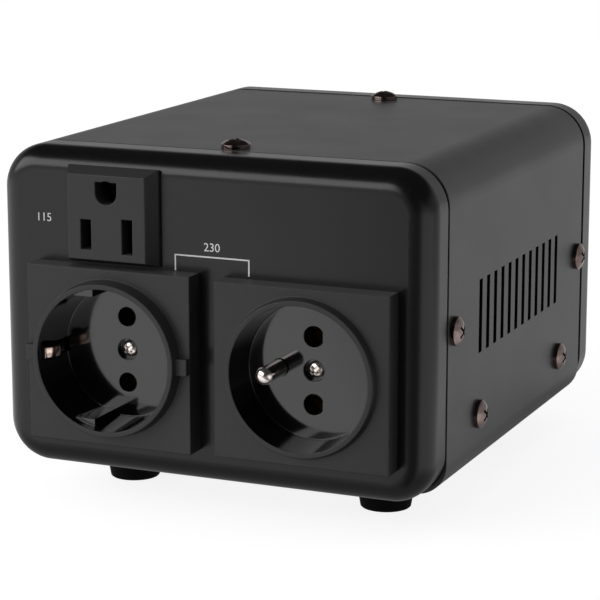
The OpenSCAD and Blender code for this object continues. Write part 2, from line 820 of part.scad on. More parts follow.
// Places on the side walls, each with z out of the wall
module side_screw_places(sides = [-1, 1]) {
  for (s = sides)
    translate([s * sleeve_x, mid_y, 0])
      rotate([0, 90 * s, 0]) {
        for (t = [-1, 1]) {
          translate([-s * side_screw_z, t * cap_screw_y, 0])
            children();
          translate([-s * base_screw_z, base_screw_back + t * base_screw_span / 2, 0])
            children();
        }
      }
}

module top_screw_places() {
  for (t = [-1, 1])
    translate([0, mid_y + t * cap_screw_y, sleeve_top])
      children();
}

// Dome-head screw that stands on z = 0 and points down
module dome_screw(d, head_d, head_h, len, rim) {
  dome = head_h - rim;
  ball = (head_d * head_d / 4 + dome * dome) / (2 * dome);
  difference() {
    union() {
      intersection() {
        cylinder(d = head_d, h = head_h);
        translate([0, 0, head_h - ball])
          sphere(r = ball);
      }
      translate([0, 0, -len])
        cylinder(d = d, h = len + cut);
    }
    for (a = [0, 90])
      rotate([0, 0, a + 45])
        translate([-recess_len * head_d / screw_head_d / 2, -recess_w / 2, head_h - recess_h])
          cube([recess_len * head_d / screw_head_d, recess_w, recess_h + cut]);
  }
}

module case_screw(len = screw_len) {
  dome_screw(screw_d, screw_head_d, screw_head_h, len, screw_rim_h);
}

module hex_nut(w, t, bore) {
  difference() {
    cylinder(d = w / cos(30), h = t, $fn = 6);
    translate([0, 0, -cut])
      cylinder(d = bore, h = t + 2 * cut);
  }
}

module top_screws() {
  color([0.22, 0.18, 0.14])
    top_screw_places()
      case_screw();
}

module right_screws() {
  color([0.22, 0.18, 0.14])
    side_screw_places([1])
      case_screw();
}

module left_screws() {
  color([0.22, 0.18, 0.14])
    side_screw_places([-1])
      case_screw();
}

// Tray that closes the case underneath, with side walls inside the sleeve
module base_tray() {
  color([0.62, 0.63, 0.64])
    difference() {
      translate([0, mid_y + base_len / 2, cap_mid_z])
        rotate([90, 0, 0])
          linear_extrude(base_len)
            intersection() {
              difference() {
                wrap(base_in);
                wrap(base_in + sheet_t);
              }
              translate([-case_w / 2, -case_h / 2])
                square([case_w, base_in + base_wall]);
            }
      for (s = [-1, 1], t = [-1, 1])
        translate([s * (case_w / 2 - base_in + cut), base_mid_y + t * base_screw_span / 2, base_screw_z])
          rotate([0, -90 * s, 0])
            cylinder(r = hole_r, h = 3 * sheet_t);
      foot_places()
        translate([0, 0, base_z - cut])
          cylinder(r = hole_r, h = sheet_t + 2 * cut);
      bracket_screw_places()
        translate([0, 0, base_z - cut])
          cylinder(r = hole_r, h = sheet_t + 2 * cut);
      stud_place()
        translate([0, 0, base_z - cut])
          cylinder(r = hole_r, h = sheet_t + 2 * cut);
      for (i = [0 : floor_vent_n - 1])
        translate([(i - (floor_vent_n - 1) / 2) * vent_pitch, mid_y, 0])
          block(vent_w, floor_vent_len, base_z - cut, base_top + cut);
    }
}

// Nuts of the base screws, clear of the bend under them
module clinch_nuts() {
  color("silver")
    for (s = [-1, 1], t = [-1, 1])
      translate([s * nut_x, base_mid_y + t * base_screw_span / 2, base_screw_z])
        rotate([0, -90 * s, 0])
          rotate([0, 0, 30])
            hex_nut(nut_w, nut_t, 2 * hole_r);
}

module foot_places() {
  for (sx = [-1, 1], sy = [-1, 1])
    translate([sx * foot_span_x / 2, mid_y + sy * foot_span_y / 2, 0])
      children();
}

// Rubber foot with a screw pocket from below
module foot(sx, sy) {
  color([0.07, 0.07, 0.07])
    translate([sx * foot_span_x / 2, mid_y + sy * foot_span_y / 2, 0])
      difference() {
        union() {
          cylinder(d1 = foot_low_d - 2 * foot_edge, d2 = foot_low_d, h = foot_edge);
          translate([0, 0, foot_edge])
            cylinder(d1 = foot_low_d, d2 = foot_d, h = base_z - foot_edge);
        }
        translate([0, 0, -cut])
          cylinder(d = foot_pocket_d, h = foot_pocket + cut);
        cylinder(r = hole_r, h = base_z + cut);
      }
}

module foot_front_left() {
  foot(-1, -1);
}

module foot_front_right() {
  foot(1, -1);
}

module foot_rear_left() {
  foot(-1, 1);
}

module foot_rear_right() {
  foot(1, 1);
}

module foot_screws() {
  color("silver")
    foot_places()
      translate([0, 0, foot_pocket])
        rotate([180, 0, 0])
          case_screw(base_top + nut_t + thread_end - foot_pocket);
}

module foot_nuts() {
  color("silver")
    foot_places()
      translate([0, 0, base_top])
        hex_nut(nut_w, nut_t, 2 * hole_r);
}

module at_blade() {
  at_front()
    translate([blade_x, low_z + blade_z, 0])
      children();
}

// Bevelled block: two trapezoid prisms crossed
module bevel_block(w, h, face, rim, top) {
  intersection() {
    rotate([90, 0, 0])
      linear_extrude(2 * h, center = true)
        polygon([[-w / 2, 0], [w / 2, 0], [w / 2, rim], [face / 2, top], [-face / 2, top], [-w / 2, rim]]);
    rotate([90, 0, 90])
      linear_extrude(2 * w, center = true)
        polygon([[-h / 2, 0], [h / 2, 0], [h / 2, rim], [face / 2, top], [-face / 2, top], [-h / 2, rim]]);
  }
}

// Socket for flat blades, earth hole above the two slots
module blade_socket() {
  color([0.2, 0.2, 0.2])
    at_blade()
      difference() {
        union() {
          bevel_block(blade_w, blade_h, blade_face, blade_rim, blade_out);
          block(blade_body, blade_body, -blade_body_d, cut);
        }
        for (s = [-1, 1]) {
          translate([s * blade_span / 2, -slot_down, 0])
            block(slot_w, s < 0 ? slot_live : slot_neutral, -face_t, blade_out + cut);
          translate([s * blade_span / 2, -slot_down, 0])
            block(cell_w, cell_h, -blade_body_d + back_wall, blade_out - face_t);
          translate([s * blade_span / 2, -slot_down, 0])
            cylinder(d = tail_d + 2 * tail_gap, h = 3 * blade_body_d, center = true);
        }
        translate([0, earth_up - slot_down, 0]) {
          translate([0, 0, -face_t])
            linear_extrude(blade_out + face_t + cut) {
              circle(d = earth_d);
              translate([-earth_d / 2, 0])
                square([earth_d, earth_flat]);
            }
          translate([0, 0, -blade_body_d + back_wall])
            cylinder(d = cell_d, h = blade_body_d - back_wall + blade_out - face_t);
          cylinder(d = tail_d + 2 * tail_gap, h = 3 * blade_body_d, center = true);
        }
      }
}

// Two leaves on a bridge, with a round tail
module blade_contact(s) {
  seat = -blade_body_d + back_wall;
  top = blade_out - face_t - contact_down;
  color([0.8, 0.66, 0.36])
    at_blade()
      translate([s * blade_span / 2, -slot_down, 0]) {
        for (t = [-1, 1])
          translate([t * (leaf_gap + leaf_t) / 2, 0, 0])
            block(leaf_t, leaf_w, seat, top);
        block(leaf_gap + 2 * leaf_t, leaf_w, seat, seat + contact_foot);
        translate([0, 0, -blade_body_d - tail_len])
          cylinder(d = tail_d, h = back_wall + tail_len + cut);
      }
}

module blade_live_contact() {
  blade_contact(-1);
}

module blade_neutral_contact() {
  blade_contact(1);
}

// Slit tube with a round tail, its mouth at z = top and its foot at z = seat
module tulip(seat, top, tail) {
  difference() {
    union() {
      translate([0, 0, seat])
        cylinder(d = tulip_d, h = top - seat);
      translate([0, 0, tail])
        cylinder(d = tail_d, h = seat - tail + cut);
    }
    translate([0, 0, seat + contact_foot])
      cylinder(d = tulip_bore, h = top - seat);
    for (a = [0, 90])
      rotate([0, 0, a])
        block(slit_w, 2 * tulip_d, seat + slit_up, top + cut);
  }
}

module blade_earth_contact() {
  color([0.8, 0.66, 0.36])
    at_blade()
      translate([0, earth_up - slot_down, 0])
        tulip(-blade_body_d + back_wall, blade_out - face_t - contact_down, -blade_body_d - tail_len);
}

module at_side() {
  at_front()
    translate([side_x, side_z, 0])
      children();
}

module at_pin() {
  at_front()
    translate([pin_x, side_z, 0])
      children();
}

// Plate, collar and well of a round socket, without its holes
module round_face(w, h, collar, depth) {
  rim = plate_out + collar;
  difference() {
    union() {
      block(w, h, 0, plate_out);
      translate([0, 0, plate_out - cut])
        cylinder(r1 = collar_r + collar_flare, r2 = collar_r, h = collar + cut);
      translate([0, 0, rim - depth - floor_t])
        cylinder(r = collar_r, h = depth + floor_t - collar - cut);
    }
    translate([0, 0, rim - depth])
      cylinder(r1 = well_r - well_draft, r2 = well_r, h = depth);
    translate([0, 0, rim - cut])
      cylinder(r = well_r, h = 3 * cut);
  }
}

// Screw pocket and thread hole in a well's floor
module centre_hole(floor_z) {
  translate([0, 0, floor_z - pocket_h])
    cylinder(d = pocket_d, h = pocket_h + cut);
  translate([0, 0, floor_z - floor_t - cut])
    cylinder(d = centre_d + 2 * screw_gap, h = floor_t);
}

module side_earth_socket() {
  rim = plate_out + side_collar;
  color([0.2, 0.2, 0.2])
    at_side()
      difference() {
        union() {
          round_face(side_plate, side_plate, side_collar, side_depth);
          for (a = [0, 180])
            rotate([0, 0, a])
              translate([collar_r - sink, -tab_w / 2, plate_out - cut])
                cube([side_plate / 2 - collar_r + sink - cut, tab_w, tab_out + cut]);
          for (low = [-collar_r, rib_in])
            intersection() {
              translate([-rib_off - rib_w / 2, low, side_floor - cut])
                cube([rib_w, collar_r - rib_in, side_depth - rib_down + cut]);
              translate([0, 0, side_floor - 2 * cut])
                cylinder(r = collar_r - sink, h = side_depth);
            }
        }
        for (s = [-1, 1])
          translate([0, s * hole_span / 2, side_floor - floor_t - cut])
            cylinder(d = hole_d, h = floor_t + 2 * cut);
        centre_hole(side_floor);
        for (a = [0, 180])
          rotate([0, 0, a])
            translate([clip_r - clip_gap, -clip_y, side_floor - floor_t - cut])
              cube([clip_max - clip_r + clip_gap, 2 * clip_y, side_depth + floor_t + cut - clip_slot_down]);
      }
}

// Housing behind a well: clamps the panel and holds the contacts
module round_back(floor_z) {
  top = floor_z - floor_t;
  difference() {
    translate([0, 0, top - back_d])
      cylinder(r = back_r, h = back_d - top - panel_t);
    translate([0, 0, top])
      cylinder(r = panel_hole_r, h = -top);
    for (s = [-1, 1])
      translate([0, s * hole_span / 2, top - back_d + back_wall]) {
        cylinder(r = tulip_cell, h = back_d);
        cylinder(d = tail_d + 2 * tail_gap, h = 3 * back_wall, center = true);
      }
    translate([0, 0, top - centre_len])
      cylinder(d = centre_d + 2 * screw_gap, h = centre_len + cut);
  }
}

// Room for the bosses and the ends of the cap screws
module boss_room() {
  side_screw_places()
    translate([0, 0, -screw_len - room])
      cylinder(d = boss_d + 2 * room, h = screw_len + room);
}

module side_earth_back() {
  top = side_floor - floor_t;
  color([0.12, 0.12, 0.12])
    difference() {
      at_side()
        difference() {
          round_back(side_floor);
          for (a = [0, 180])
            rotate([0, 0, a])
              translate([clip_r - clip_gap, -clip_y, top - back_d + back_wall])
                cube([clip_max - clip_r + clip_gap, 2 * clip_y, back_d]);
        }
      boss_room();
    }
}

module side_earth_tulips() {
  top = side_floor - floor_t;
  color([0.8, 0.66, 0.36])
    at_side()
      for (s = [-1, 1])
        translate([0, s * hole_span / 2, 0])
          tulip(top - back_d + back_wall, top - tulip_down, top - back_d - tail_len);
}

module centre_screw(floor_z) {
  translate([0, 0, floor_z - pocket_h])
    dome_screw(centre_d, centre_head_d, centre_head_h, floor_t - pocket_h + centre_len - sink, small_rim_h);
}

module side_earth_screw() {
  color([0.85, 0.8, 0.76])
    at_side()
      centre_screw(side_floor);
}

// Sprung earth strip: tail behind the floor, bulge in the well, lip at the rim
module earth_clip(a) {
  low = side_floor - floor_t - back_d + back_wall + clip_gap;
  path = [
    [clip_r, low],
    [clip_r, side_floor],
    [clip_r - clip_bulge * 0.55, side_floor + side_depth * 0.28],
    [clip_r - clip_bulge, side_floor + side_depth * 0.52],
    [clip_r - clip_bulge * 0.7, side_floor + side_depth * 0.7],
    [clip_r, side_floor + side_depth * 0.86]
  ];
  color([0.86, 0.7, 0.62])
    at_side()
      rotate([0, 0, a])
        rotate([90, 0, 0])
          linear_extrude(clip_w, center = true)
            polygon(concat(path, [for (i = [len(path) - 1 : -1 : 0]) path[i] + [clip_t, 0]]));
}

module earth_clip_left() {
  earth_clip(180);
}

module earth_clip_right() {
  earth_clip(0);
}

module pin_earth_socket() {
  color([0.2, 0.2, 0.2])
    at_pin()
      difference() {
        round_face(pin_plate_w, pin_plate_h, pin_collar, pin_depth);
        for (s = [-1, 1])
          translate([0, s * hole_span / 2, pin_floor - floor_t - cut])
            intersection() {
              cylinder(d = hole_d_pin, h = floor_t + 2 * cut);
              translate([-hole_d_pin, -hole_d_pin, 0])
                cube([hole_d_pin + hole_flat, 2 * hole_d_pin, floor_t + 2 * cut]);
            }
        centre_hole(pin_floor);
        translate([-earth_pin_off, 0, pin_floor - floor_t - cut])
          cylinder(d = earth_pin_d + 2 * earth_pin_gap, h = floor_t + 2 * cut);
      }
}

module pin_earth_back() {
  top = pin_floor - floor_t;
  color([0.12, 0.12, 0.12])
    difference() {
      at_pin()
        difference() {
          round_back(pin_floor);
          translate([-earth_pin_off, 0, top - earth_flange_t])
            cylinder(d = earth_flange_d + 2 * tail_gap, h = earth_flange_t + cut);
          translate([-earth_pin_off, 0, top - back_d - cut])
            cylinder(d = tail_d + 2 * tail_gap, h = back_d);
        }
      boss_room();
    }
}

module pin_earth_tulips() {
  top = pin_floor - floor_t;
  color([0.8, 0.66, 0.36])
    at_pin()
      for (s = [-1, 1])
        translate([0, s * hole_span / 2, 0])
          tulip(top - back_d + back_wall, top - tulip_down, top - back_d - tail_len);
}

module pin_earth_screw() {
  color([0.85, 0.8, 0.76])
    at_pin()
      centre_screw(pin_floor);
}

// Round earth pin with a domed tip, a flange under the floor and a tail
module earth_pin() {
  top = pin_floor - floor_t;
  color([0.85, 0.84, 0.82])
    at_pin()
      translate([-earth_pin_off, 0, 0]) {
        translate([0, 0, top - cut])
          cylinder(d = earth_pin_d, h = floor_t + cut);
        translate([0, 0, pin_floor - cut])
          cylinder(d = earth_pin_d - 2 * neck_in, h = neck_h + 2 * cut);
        translate([0, 0, pin_floor + neck_h])
          cylinder(d = earth_pin_d, h = earth_pin_len - earth_pin_d * 0.3 - neck_h);
        intersection() {
          translate([0, 0, pin_floor + earth_pin_len - earth_pin_d * 0.3 - cut])
            cylinder(d = earth_pin_d, h = earth_pin_d * 0.3 + cut);
          translate([0, 0, pin_floor + earth_pin_len - earth_pin_d * 0.55])
            sphere(d = earth_pin_d * 1.1);
        }
        translate([0, 0, top - earth_flange_t])
          cylinder(d = earth_flange_d, h = earth_flange_t);
        translate([0, 0, top - back_d - tail_len])
          cylinder(d = tail_d, h = back_d + tail_len - earth_flange_t + cut);
      }
}

module at_inlet() {
  at_rear()
    translate([inlet_x, low_z + inlet_z, 0])
      children();
}

// Appliance inlet with two cut corners at the top of its cavity
module inlet_body() {
  w = inlet_cave_w / 2;
  h = inlet_cave_h / 2;
  color([0.1, 0.1, 0.1])
    at_inlet()
      difference() {
        union() {
          block(inlet_w, inlet_h, 0, inlet_flange);
          block(inlet_body_w, inlet_body_h, -inlet_body_d, cut);
        }
        translate([0, 0, inlet_flange - inlet_cave_d])
          linear_extrude(inlet_cave_d + cut)
            polygon([
              [-w, -h], [w, -h], [w, h - inlet_cut],
              [w - inlet_cut, h], [inlet_cut - w, h], [-w, h - inlet_cut]
            ]);
        for (s = [-1, 1])
          translate([s * inlet_screw_span / 2, 0, -cut])
            cylinder(d = small_d + 2 * screw_gap, h = inlet_flange + 2 * cut);
        inlet_blade_places()
          block(inlet_pin_t + 2 * screw_gap, inlet_pin_h + 2 * screw_gap, -inlet_body_d - cut, 0);
      }
}

module inlet_blade_places() {
  for (s = [-1, 1])
    translate([s * inlet_span / 2, -inlet_offset, 0])
      children();
  translate([0, inlet_offset, 0])
    children();
}

module inlet_blades() {
  color("silver")
    at_inlet()
      inlet_blade_places()
        block(inlet_pin_t, inlet_pin_h, -inlet_body_d - tail_len, inlet_flange - inlet_pin_down);
}

// Small screws of the inlet and the selector, on the face that carries their heads
module small_screw_places(seated = false) {
  for (s = [-1, 1]) {
    translate([inlet_x + s * inlet_screw_span / 2, low_z + inlet_z, seated ? inlet_flange : 0])
      children();
    translate([switch_x + s * sel_screw_span / 2, low_z + upper_z, seated ? sel_t : 0])
      children();
  }
}

module small_screws() {
  color("silver")
    at_rear()
      small_screw_places(true)
        dome_screw(small_d, small_head_d, small_head_h, small_len, small_rim_h);
}

module small_nuts() {
  color("silver")
    at_rear()
      small_screw_places()
        translate([0, 0, -panel_t - small_nut_t])
          hex_nut(small_nut_w, small_nut_t, small_d + 2 * screw_gap);
}

module at_switch() {
  at_rear()
    translate([switch_x, low_z + switch_z, 0])
      children();
}

module switch_housing() {
  color([0.1, 0.1, 0.1])
    at_switch()
      difference() {
        union() {
          block(switch_w, switch_h, 0, switch_flange);
          block(switch_body_w, switch_body_h, -switch_body_d, cut);
        }
        block(rocker_cave_w, rocker_cave_h, -switch_body_d + switch_floor, switch_flange + cut);
        translate([0, 0, -pivot_down])
          rotate([0, 90, 0])
            cylinder(d = pivot_d + 2 * pivot_gap, h = switch_body_w + cut, center = true);
        switch_terminal_places()
          block(tab_t + 2 * screw_gap, switch_tab_w + 2 * screw_gap,
            -switch_body_d - cut, -switch_body_d + switch_floor + cut);
      }
}

// Rocker in its off position: a shallow V with swept ends and two pivots
module switch_rocker() {
  color([0.14, 0.14, 0.14])
    at_switch()
      translate([0, 0, -pivot_down])
        rotate([-rocker_tilt, 0, 0]) {
          rotate([90, 0, 90])
            linear_extrude(rocker_w, center = true)
              intersection() {
                circle(rocker_r);
                polygon([
                  [-rocker_r - 1, -rocker_low],
                  [rocker_r + 1, -rocker_low],
                  [rocker_r + 1, pivot_down + switch_flange + rocker_rise],
                  [0, pivot_down + switch_flange],
                  [-rocker_r - 1, pivot_down + switch_flange + rocker_rise]
                ]);
              }
          rotate([0, 90, 0])
            cylinder(d = pivot_d, h = pivot_len, center = true);
        }
}

module switch_terminal_places() {
  for (s = [-1, 1])
    translate([0, s * switch_tab_off, 0])
      children();
}

module switch_terminals() {
  color([0.8, 0.66, 0.36])
    at_switch()
      switch_terminal_places()
        block(tab_t, switch_tab_w, -switch_body_d - switch_tab_len, -switch_body_d + switch_floor);
}

module at_selector() {
  at_rear()
    translate([switch_x, low_z + upper_z, 0])
      children();
}

module selector_plate() {
  color("silver")
    at_selector()
      difference() {
        block(sel_w, sel_h, 0, sel_t);
        block(sel_window_w, sel_window_h, -cut, sel_t + cut);
        for (s = [-1, 1])
          translate([s * sel_screw_span / 2, 0, -cut])
            cylinder(d = small_d + 2 * screw_gap, h = sel_t + 2 * cut);
      }
}

module selector_housing() {
  color([0.1, 0.1, 0.1])
    at_selector()
      difference() {
        block(sel_body_w, sel_body_h, -sel_body_d, 0);
        block(sel_body_w - 2 * sel_wall, sel_cave_h, -sel_cave_d, cut);
        selector_terminal_places()
          block(tab_t + 2 * screw_gap, sel_tab_w + 2 * screw_gap, -sel_body_d - cut, -sel_cave_d + cut);
      }
}

module selector_slider() {
  color([0.75, 0.1, 0.08])
    at_selector()
      translate([-sel_travel / 2, 0, 0]) {
        block(sel_slide_w, sel_cave_h - 2 * sel_gap, -sel_gap - sel_slide_t, -sel_gap);
        difference() {
          block(knob_w, knob_h, -sel_gap - cut, sel_t + knob_out);
          for (i = [-1, 0, 1])
            translate([i * groove_pitch, 0, 0])
              block(groove_w, knob_h + cut, sel_t + knob_out - groove_w, sel_t + knob_out + cut);
        }
      }
}

module selector_terminal_places() {
  for (i = [-1, 0, 1])
    translate([i * sel_tab_off, 0, 0])
      children();
}

module selector_terminals() {
  color([0.8, 0.66, 0.36])
    at_selector()
      selector_terminal_places()
        block(tab_t, sel_tab_w, -sel_body_d - sel_tab_len, -sel_cave_d);
}

module at_fuse() {
  at_rear()
    translate([inlet_x, low_z + upper_z, 0])
      children();
}

module fuse_holder() {
  color([0.1, 0.1, 0.1])
    at_fuse()
      difference() {
        union() {
          cylinder(d = fuse_flange_d, h = fuse_flange_t);
          translate([0, 0, -fuse_body_len])
            cylinder(d = fuse_body_d, h = fuse_body_len + cut);
          translate([0, 0, -fuse_body_len - tail_len])
            cylinder(d = tail_d, h = tail_len + cut);
          translate([0, -fuse_lug_w / 2, -fuse_body_len + fuse_lug_up])
            cube([fuse_body_d / 2 + fuse_lug, fuse_lug_w, fuse_lug_t]);
        }
        translate([0, 0, -fuse_body_len + fuse_end])
          cylinder(d = fuse_bore, h = fuse_body_len + fuse_flange_t);
      }
}

module fuse_nut() {
  color([0.1, 0.1, 0.1])
    at_fuse()
      translate([0, 0, -panel_t - fuse_nut_t])
        hex_nut(fuse_nut_w, fuse_nut_t, fuse_body_d + 2 * screw_gap);
}

// Tube that slides out of the holder with the fuse in it
module fuse_carrier() {
  color([0.13, 0.13, 0.13])
    at_fuse()
      difference() {
        translate([0, 0, fuse_flange_t - carrier_len])
          cylinder(r = carrier_r, h = carrier_len);
        translate([0, 0, fuse_flange_t - carrier_len - cut])
          cylinder(d = fuse_seat, h = carrier_len - carrier_nose + cut);
        translate([0, 0, fuse_flange_t - stem_len - stem_gap])
          cylinder(d = stem_d + 2 * stem_gap, h = stem_len + stem_gap + cut);
      }
}

module fuse_glass() {
  color([0.8, 0.88, 0.88])
    at_fuse()
      translate([0, 0, fuse_front - fuse_len + fuse_cap_len])
        cylinder(d = fuse_glass_d, h = fuse_len - 2 * fuse_cap_len);
}

module fuse_ends() {
  color("silver")
    at_fuse()
      for (z = [fuse_front - fuse_cap_len, fuse_front - fuse_len])
        translate([0, 0, z])
          cylinder(d = fuse_d, h = fuse_cap_len);
}

// Grip cap with flutes, a screwdriver slot and a stem in the carrier
module fuse_cap() {
  low = fuse_flange_t + fuse_knob_gap;
  color([0.13, 0.13, 0.13])
    at_fuse()
      difference() {
        union() {
          translate([0, 0, low])
            cylinder(d = fuse_knob_d, h = fuse_knob_len);
          translate([0, 0, low - stem_len])
            cylinder(d = stem_d, h = stem_len + cut);
        }
        block(driver_len, driver_w, low + fuse_knob_len - driver_w, low + fuse_knob_len + cut);
        for (i = [0 : flute_n - 1])
          rotate([0, 0, (i + 0.5) * 360 / flute_n])
            translate([fuse_knob_d / 2 + flute_d / 2 - flute_in, 0, low + flute_up])
              cylinder(d = flute_d, h = fuse_knob_len);
      }
}

module at_core() {
  translate([0, mid_y, wind_z])
    children();
}

// Stack of laminations with two windows
module core() {
  color([0.45, 0.42, 0.4])
    at_core()
      difference() {
        cube([core_w, core_stack, core_h], center = true);
        for (s = [-1, 1]) {
          translate([s * (core_leg + core_limb) / 2, 0, 0])
            cube([core_limb, core_stack + 1, core_window_h], center = true);
          for (t = [-1, 1])
            translate([s * bolt_x, 0, t * bolt_z])
              rotate([90, 0, 0])
                cylinder(d = core_bolt_d + 2 * screw_gap, h = core_stack + 1, center = true);
        }
      }
}

// Rectangular ring round the middle limb
module ring(inner, outer, h) {
  difference() {
    cube([2 * (bobbin_x + outer), 2 * (bobbin_y + outer), h], center = true);
    cube([2 * (bobbin_x + inner), 2 * (bobbin_y + inner), h + 1], center = true);
  }
}

module bobbin() {
  color([0.9, 0.88, 0.8])
    at_core() {
      ring(0, bobbin_t, bobbin_h);
      for (s = [-1, 1])
        translate([0, 0, s * (bobbin_h - bobbin_t) / 2])
          ring(0, wind_out, bobbin_t);
    }
}

module primary_winding() {
  color([0.72, 0.45, 0.2])
    at_core()
      ring(wind_1, wind_1 + winding_t, wind_h);
}

module secondary_winding() {
  color([0.85, 0.75, 0.3])
    at_core()
      ring(wind_2, wind_out, wind_h);
}

// Angle brackets that hold the core down, front and rear
module core_brackets() {
  color("silver")
    for (s = [-1, 1])
      translate([0, mid_y, base_top])
        difference() {
          union() {
            translate([-core_w / 2, s > 0 ? core_stack / 2 : -core_stack / 2 - bracket_t, 0])
              cube([core_w, bracket_t, bracket_h]);
            translate([-core_w / 2, s > 0 ? core_stack / 2 : -core_stack / 2 - bracket_foot, 0])
              cube([core_w, bracket_foot, bracket_t]);
          }
          for (t = [-1, 1]) {
            translate([t * bolt_x, s * core_stack / 2, core_limb / 2])
              rotate([90, 0, 0])
                cylinder(d = core_bolt_d + 2 * screw_gap, h = 3 * bracket_t, center = true);
            translate([t * bracket_span / 2, s * bracket_y(), 0])
              cylinder(r = hole_r, h = 3 * bracket_t, center = true);
          }
        }
}

function bracket_y() = core_stack / 2 + bracket_t + (bracket_foot - bracket_t) / 2;

module bracket_screw_places() {
  for (s = [-1, 1], t = [-1, 1])
    translate([t * bracket_span / 2, mid_y + s * bracket_y(), 0])
      children();
}

module bracket_screws() {
  color("silver")
    bracket_screw_places()
      translate([0, 0, base_z])
        rotate([180, 0, 0])
          case_screw(sheet_t + bracket_t + nut_t + thread_end);
}

module bracket_nuts() {
  color("silver")
    bracket_screw_places()
      translate([0, 0, base_top + bracket_t])
        hex_nut(nut_w, nut_t, 2 * hole_r);
}

// Through bolts: the lower pair also passes the brackets
module core_bolt_places() {
  for (s = [-1, 1], t = [-1, 1])
    translate([s * bolt_x, 0, t * bolt_z])
      let (seat = core_stack / 2 + (t < 0 ? bracket_t : 0))
        translate([0, -seat, 0])
          rotate([90, 0, 0]) {
            $grip = 2 * seat;
            children();
          }
}

module core_bolts() {
  color("silver")
    at_core()
      core_bolt_places()
        dome_screw(core_bolt_d, screw_head_d, screw_head_h, $grip + nut_t + thread_end, screw_rim_h);
}

module core_nuts() {
  color("silver")
    at_core()
      core_bolt_places()
        translate([0, 0, -$grip - nut_t])
          hex_nut(nut_w, nut_t, core_bolt_d + 2 * screw_gap);
}

// Wire along a list of points, with a square sleeve over each bend
module wire(points) {
  for (i = [0 : len(points) - 2]) {
    run = points[i + 1] - points[i];
    l = norm(run);
    translate(points[i])
      rotate([0, acos(run[2] / l), atan2(run[1], run[0])])
        cylinder(d = wire_d, h = l, $fn = 24);
  }
  for (i = [1 : 1 : len(points) - 2])
    translate(points[i])
      cube(wire_d * bead, center = true);
}

// Wires from the winding's front face to the sockets' tails
module output_wires() {
  side_tail = front_y - side_floor - tail_z;
  pin_tail = front_y - pin_floor - tail_z;
  blade_tail = front_y + blade_body_d + tail_len;
  face = mid_y - wind_face_y;
  bend = face - wire_step;
  land = bobbin_x;
  high = low_z + blade_z - slot_down;
  live_x = blade_x - blade_span / 2;
  neutral_x = blade_x + blade_span / 2;
  live_z = wind_z + wind_h / 2 - 2 * wire_step;
  neutral_z = wind_z + wind_h / 2 - wire_step / 2;
  color([0.5, 0.25, 0.15]) {
    for (s = [-1, 1]) {
      z = side_z + s * hole_span / 2;
      wire([[side_x, side_tail, z], [side_x, bend, z], [-land, bend, z], [-land, face, z]]);
      wire([[pin_x, pin_tail, z], [pin_x, bend, z], [land, bend, z], [land, face, z]]);
    }
    wire([
      [live_x, blade_tail, high], [live_x, bend, high], [live_x, bend, live_z],
      [-land, bend, live_z], [-land, face, live_z]
    ]);
    wire([
      [neutral_x, blade_tail, high], [neutral_x, bend - wire_step, high],
      [neutral_x, bend - wire_step, neutral_z], [neutral_x, face, neutral_z]
    ]);
  }
}

// Wires between the mains fittings, in the rear panel's frame
module mains_wires() {
  tail = -inlet_body_d - tail_len;
  face = -(rear_y - mid_y - wind_face_y);
  row = low_z + inlet_z - inlet_offset;
  top = low_z + upper_z;
  live_x = inlet_x - inlet_span / 2;
  neutral_x = inlet_x + inlet_span / 2;
  deep = face + wire_step / 2;
  lug_x = inlet_x + fuse_body_d / 2 + fuse_lug;
  lug_z = -fuse_body_len + fuse_lug_up + fuse_lug_t / 2;
  on_z = low_z + switch_z + switch_tab_off;
  off_z = low_z + switch_z - switch_tab_off;
  tab = -switch_body_d - switch_tab_len;
  sel_tab = -sel_body_d - sel_tab_len;
  outside = switch_x + switch_w / 2 + wire_step;
  near = switch_x - sel_tab_off;
  far = switch_x + sel_tab_off;
  low = wind_z + wind_h / 2 - wire_step;
  color([0.15, 0.25, 0.6])
    at_rear() {
      wire([
        [live_x, row, tail], [live_x, row, deep], [live_x, top, deep],
        [inlet_x, top, deep], [inlet_x, top, -fuse_body_len - tail_len]
      ]);
      wire([[neutral_x, row, tail], [neutral_x, row, face]]);
      wire([
        [lug_x, top, lug_z], [0, top, lug_z], [0, top, tab - wire_step], [0, on_z, tab - wire_step],
        [switch_x, on_z, tab - wire_step], [switch_x, on_z, tab]
      ]);
      wire([
        [switch_x, off_z, tab], [switch_x, off_z, tab - wire_step], [outside, off_z, tab - wire_step],
        [outside, top, tab - wire_step], [far, top, tab - wire_step], [far, top, sel_tab]
      ]);
      wire([[near, top, sel_tab], [near, top, deep], [near, low, deep], [near, low, face]]);
    }
}

// Earth wires: inlet to the stud on the base, blade socket to the earth pin
module earth_wires() {
  row = low_z + inlet_z + inlet_offset;
  blade_tail = front_y + blade_body_d + tail_len;
  earth_y = blade_tail + wire_step;
  earth_z = low_z + blade_z + earth_up - slot_down;
  pin_tail = front_y - pin_floor - tail_z;
  x = pin_x - earth_pin_off;
  color([0.35, 0.6, 0.2]) {
    at_rear()
      wire([
        [inlet_x, row, -inlet_body_d - tail_len], [inlet_x, row, -stud_in],
        [inlet_x, base_top + stud_len, -stud_in]
      ]);
    wire([
      [blade_x, blade_tail, earth_z], [blade_x, earth_y, earth_z], [x, earth_y, earth_z],
      [x, earth_y, side_z], [x, pin_tail, side_z]
    ]);
  }
}

module stud_place() {
  translate([-inlet_x, rear_y - stud_in, 0])
    children();
}

module earth_stud() {
  color([0.8, 0.66, 0.36])
    stud_place() {
      translate([0, 0, base_z - stud_head_h])
        cylinder(d = screw_head_d, h = stud_head_h);
      translate([0, 0, base_z - cut])
        cylinder(r = shank_r, h = sheet_t + stud_len + cut);
    }
}

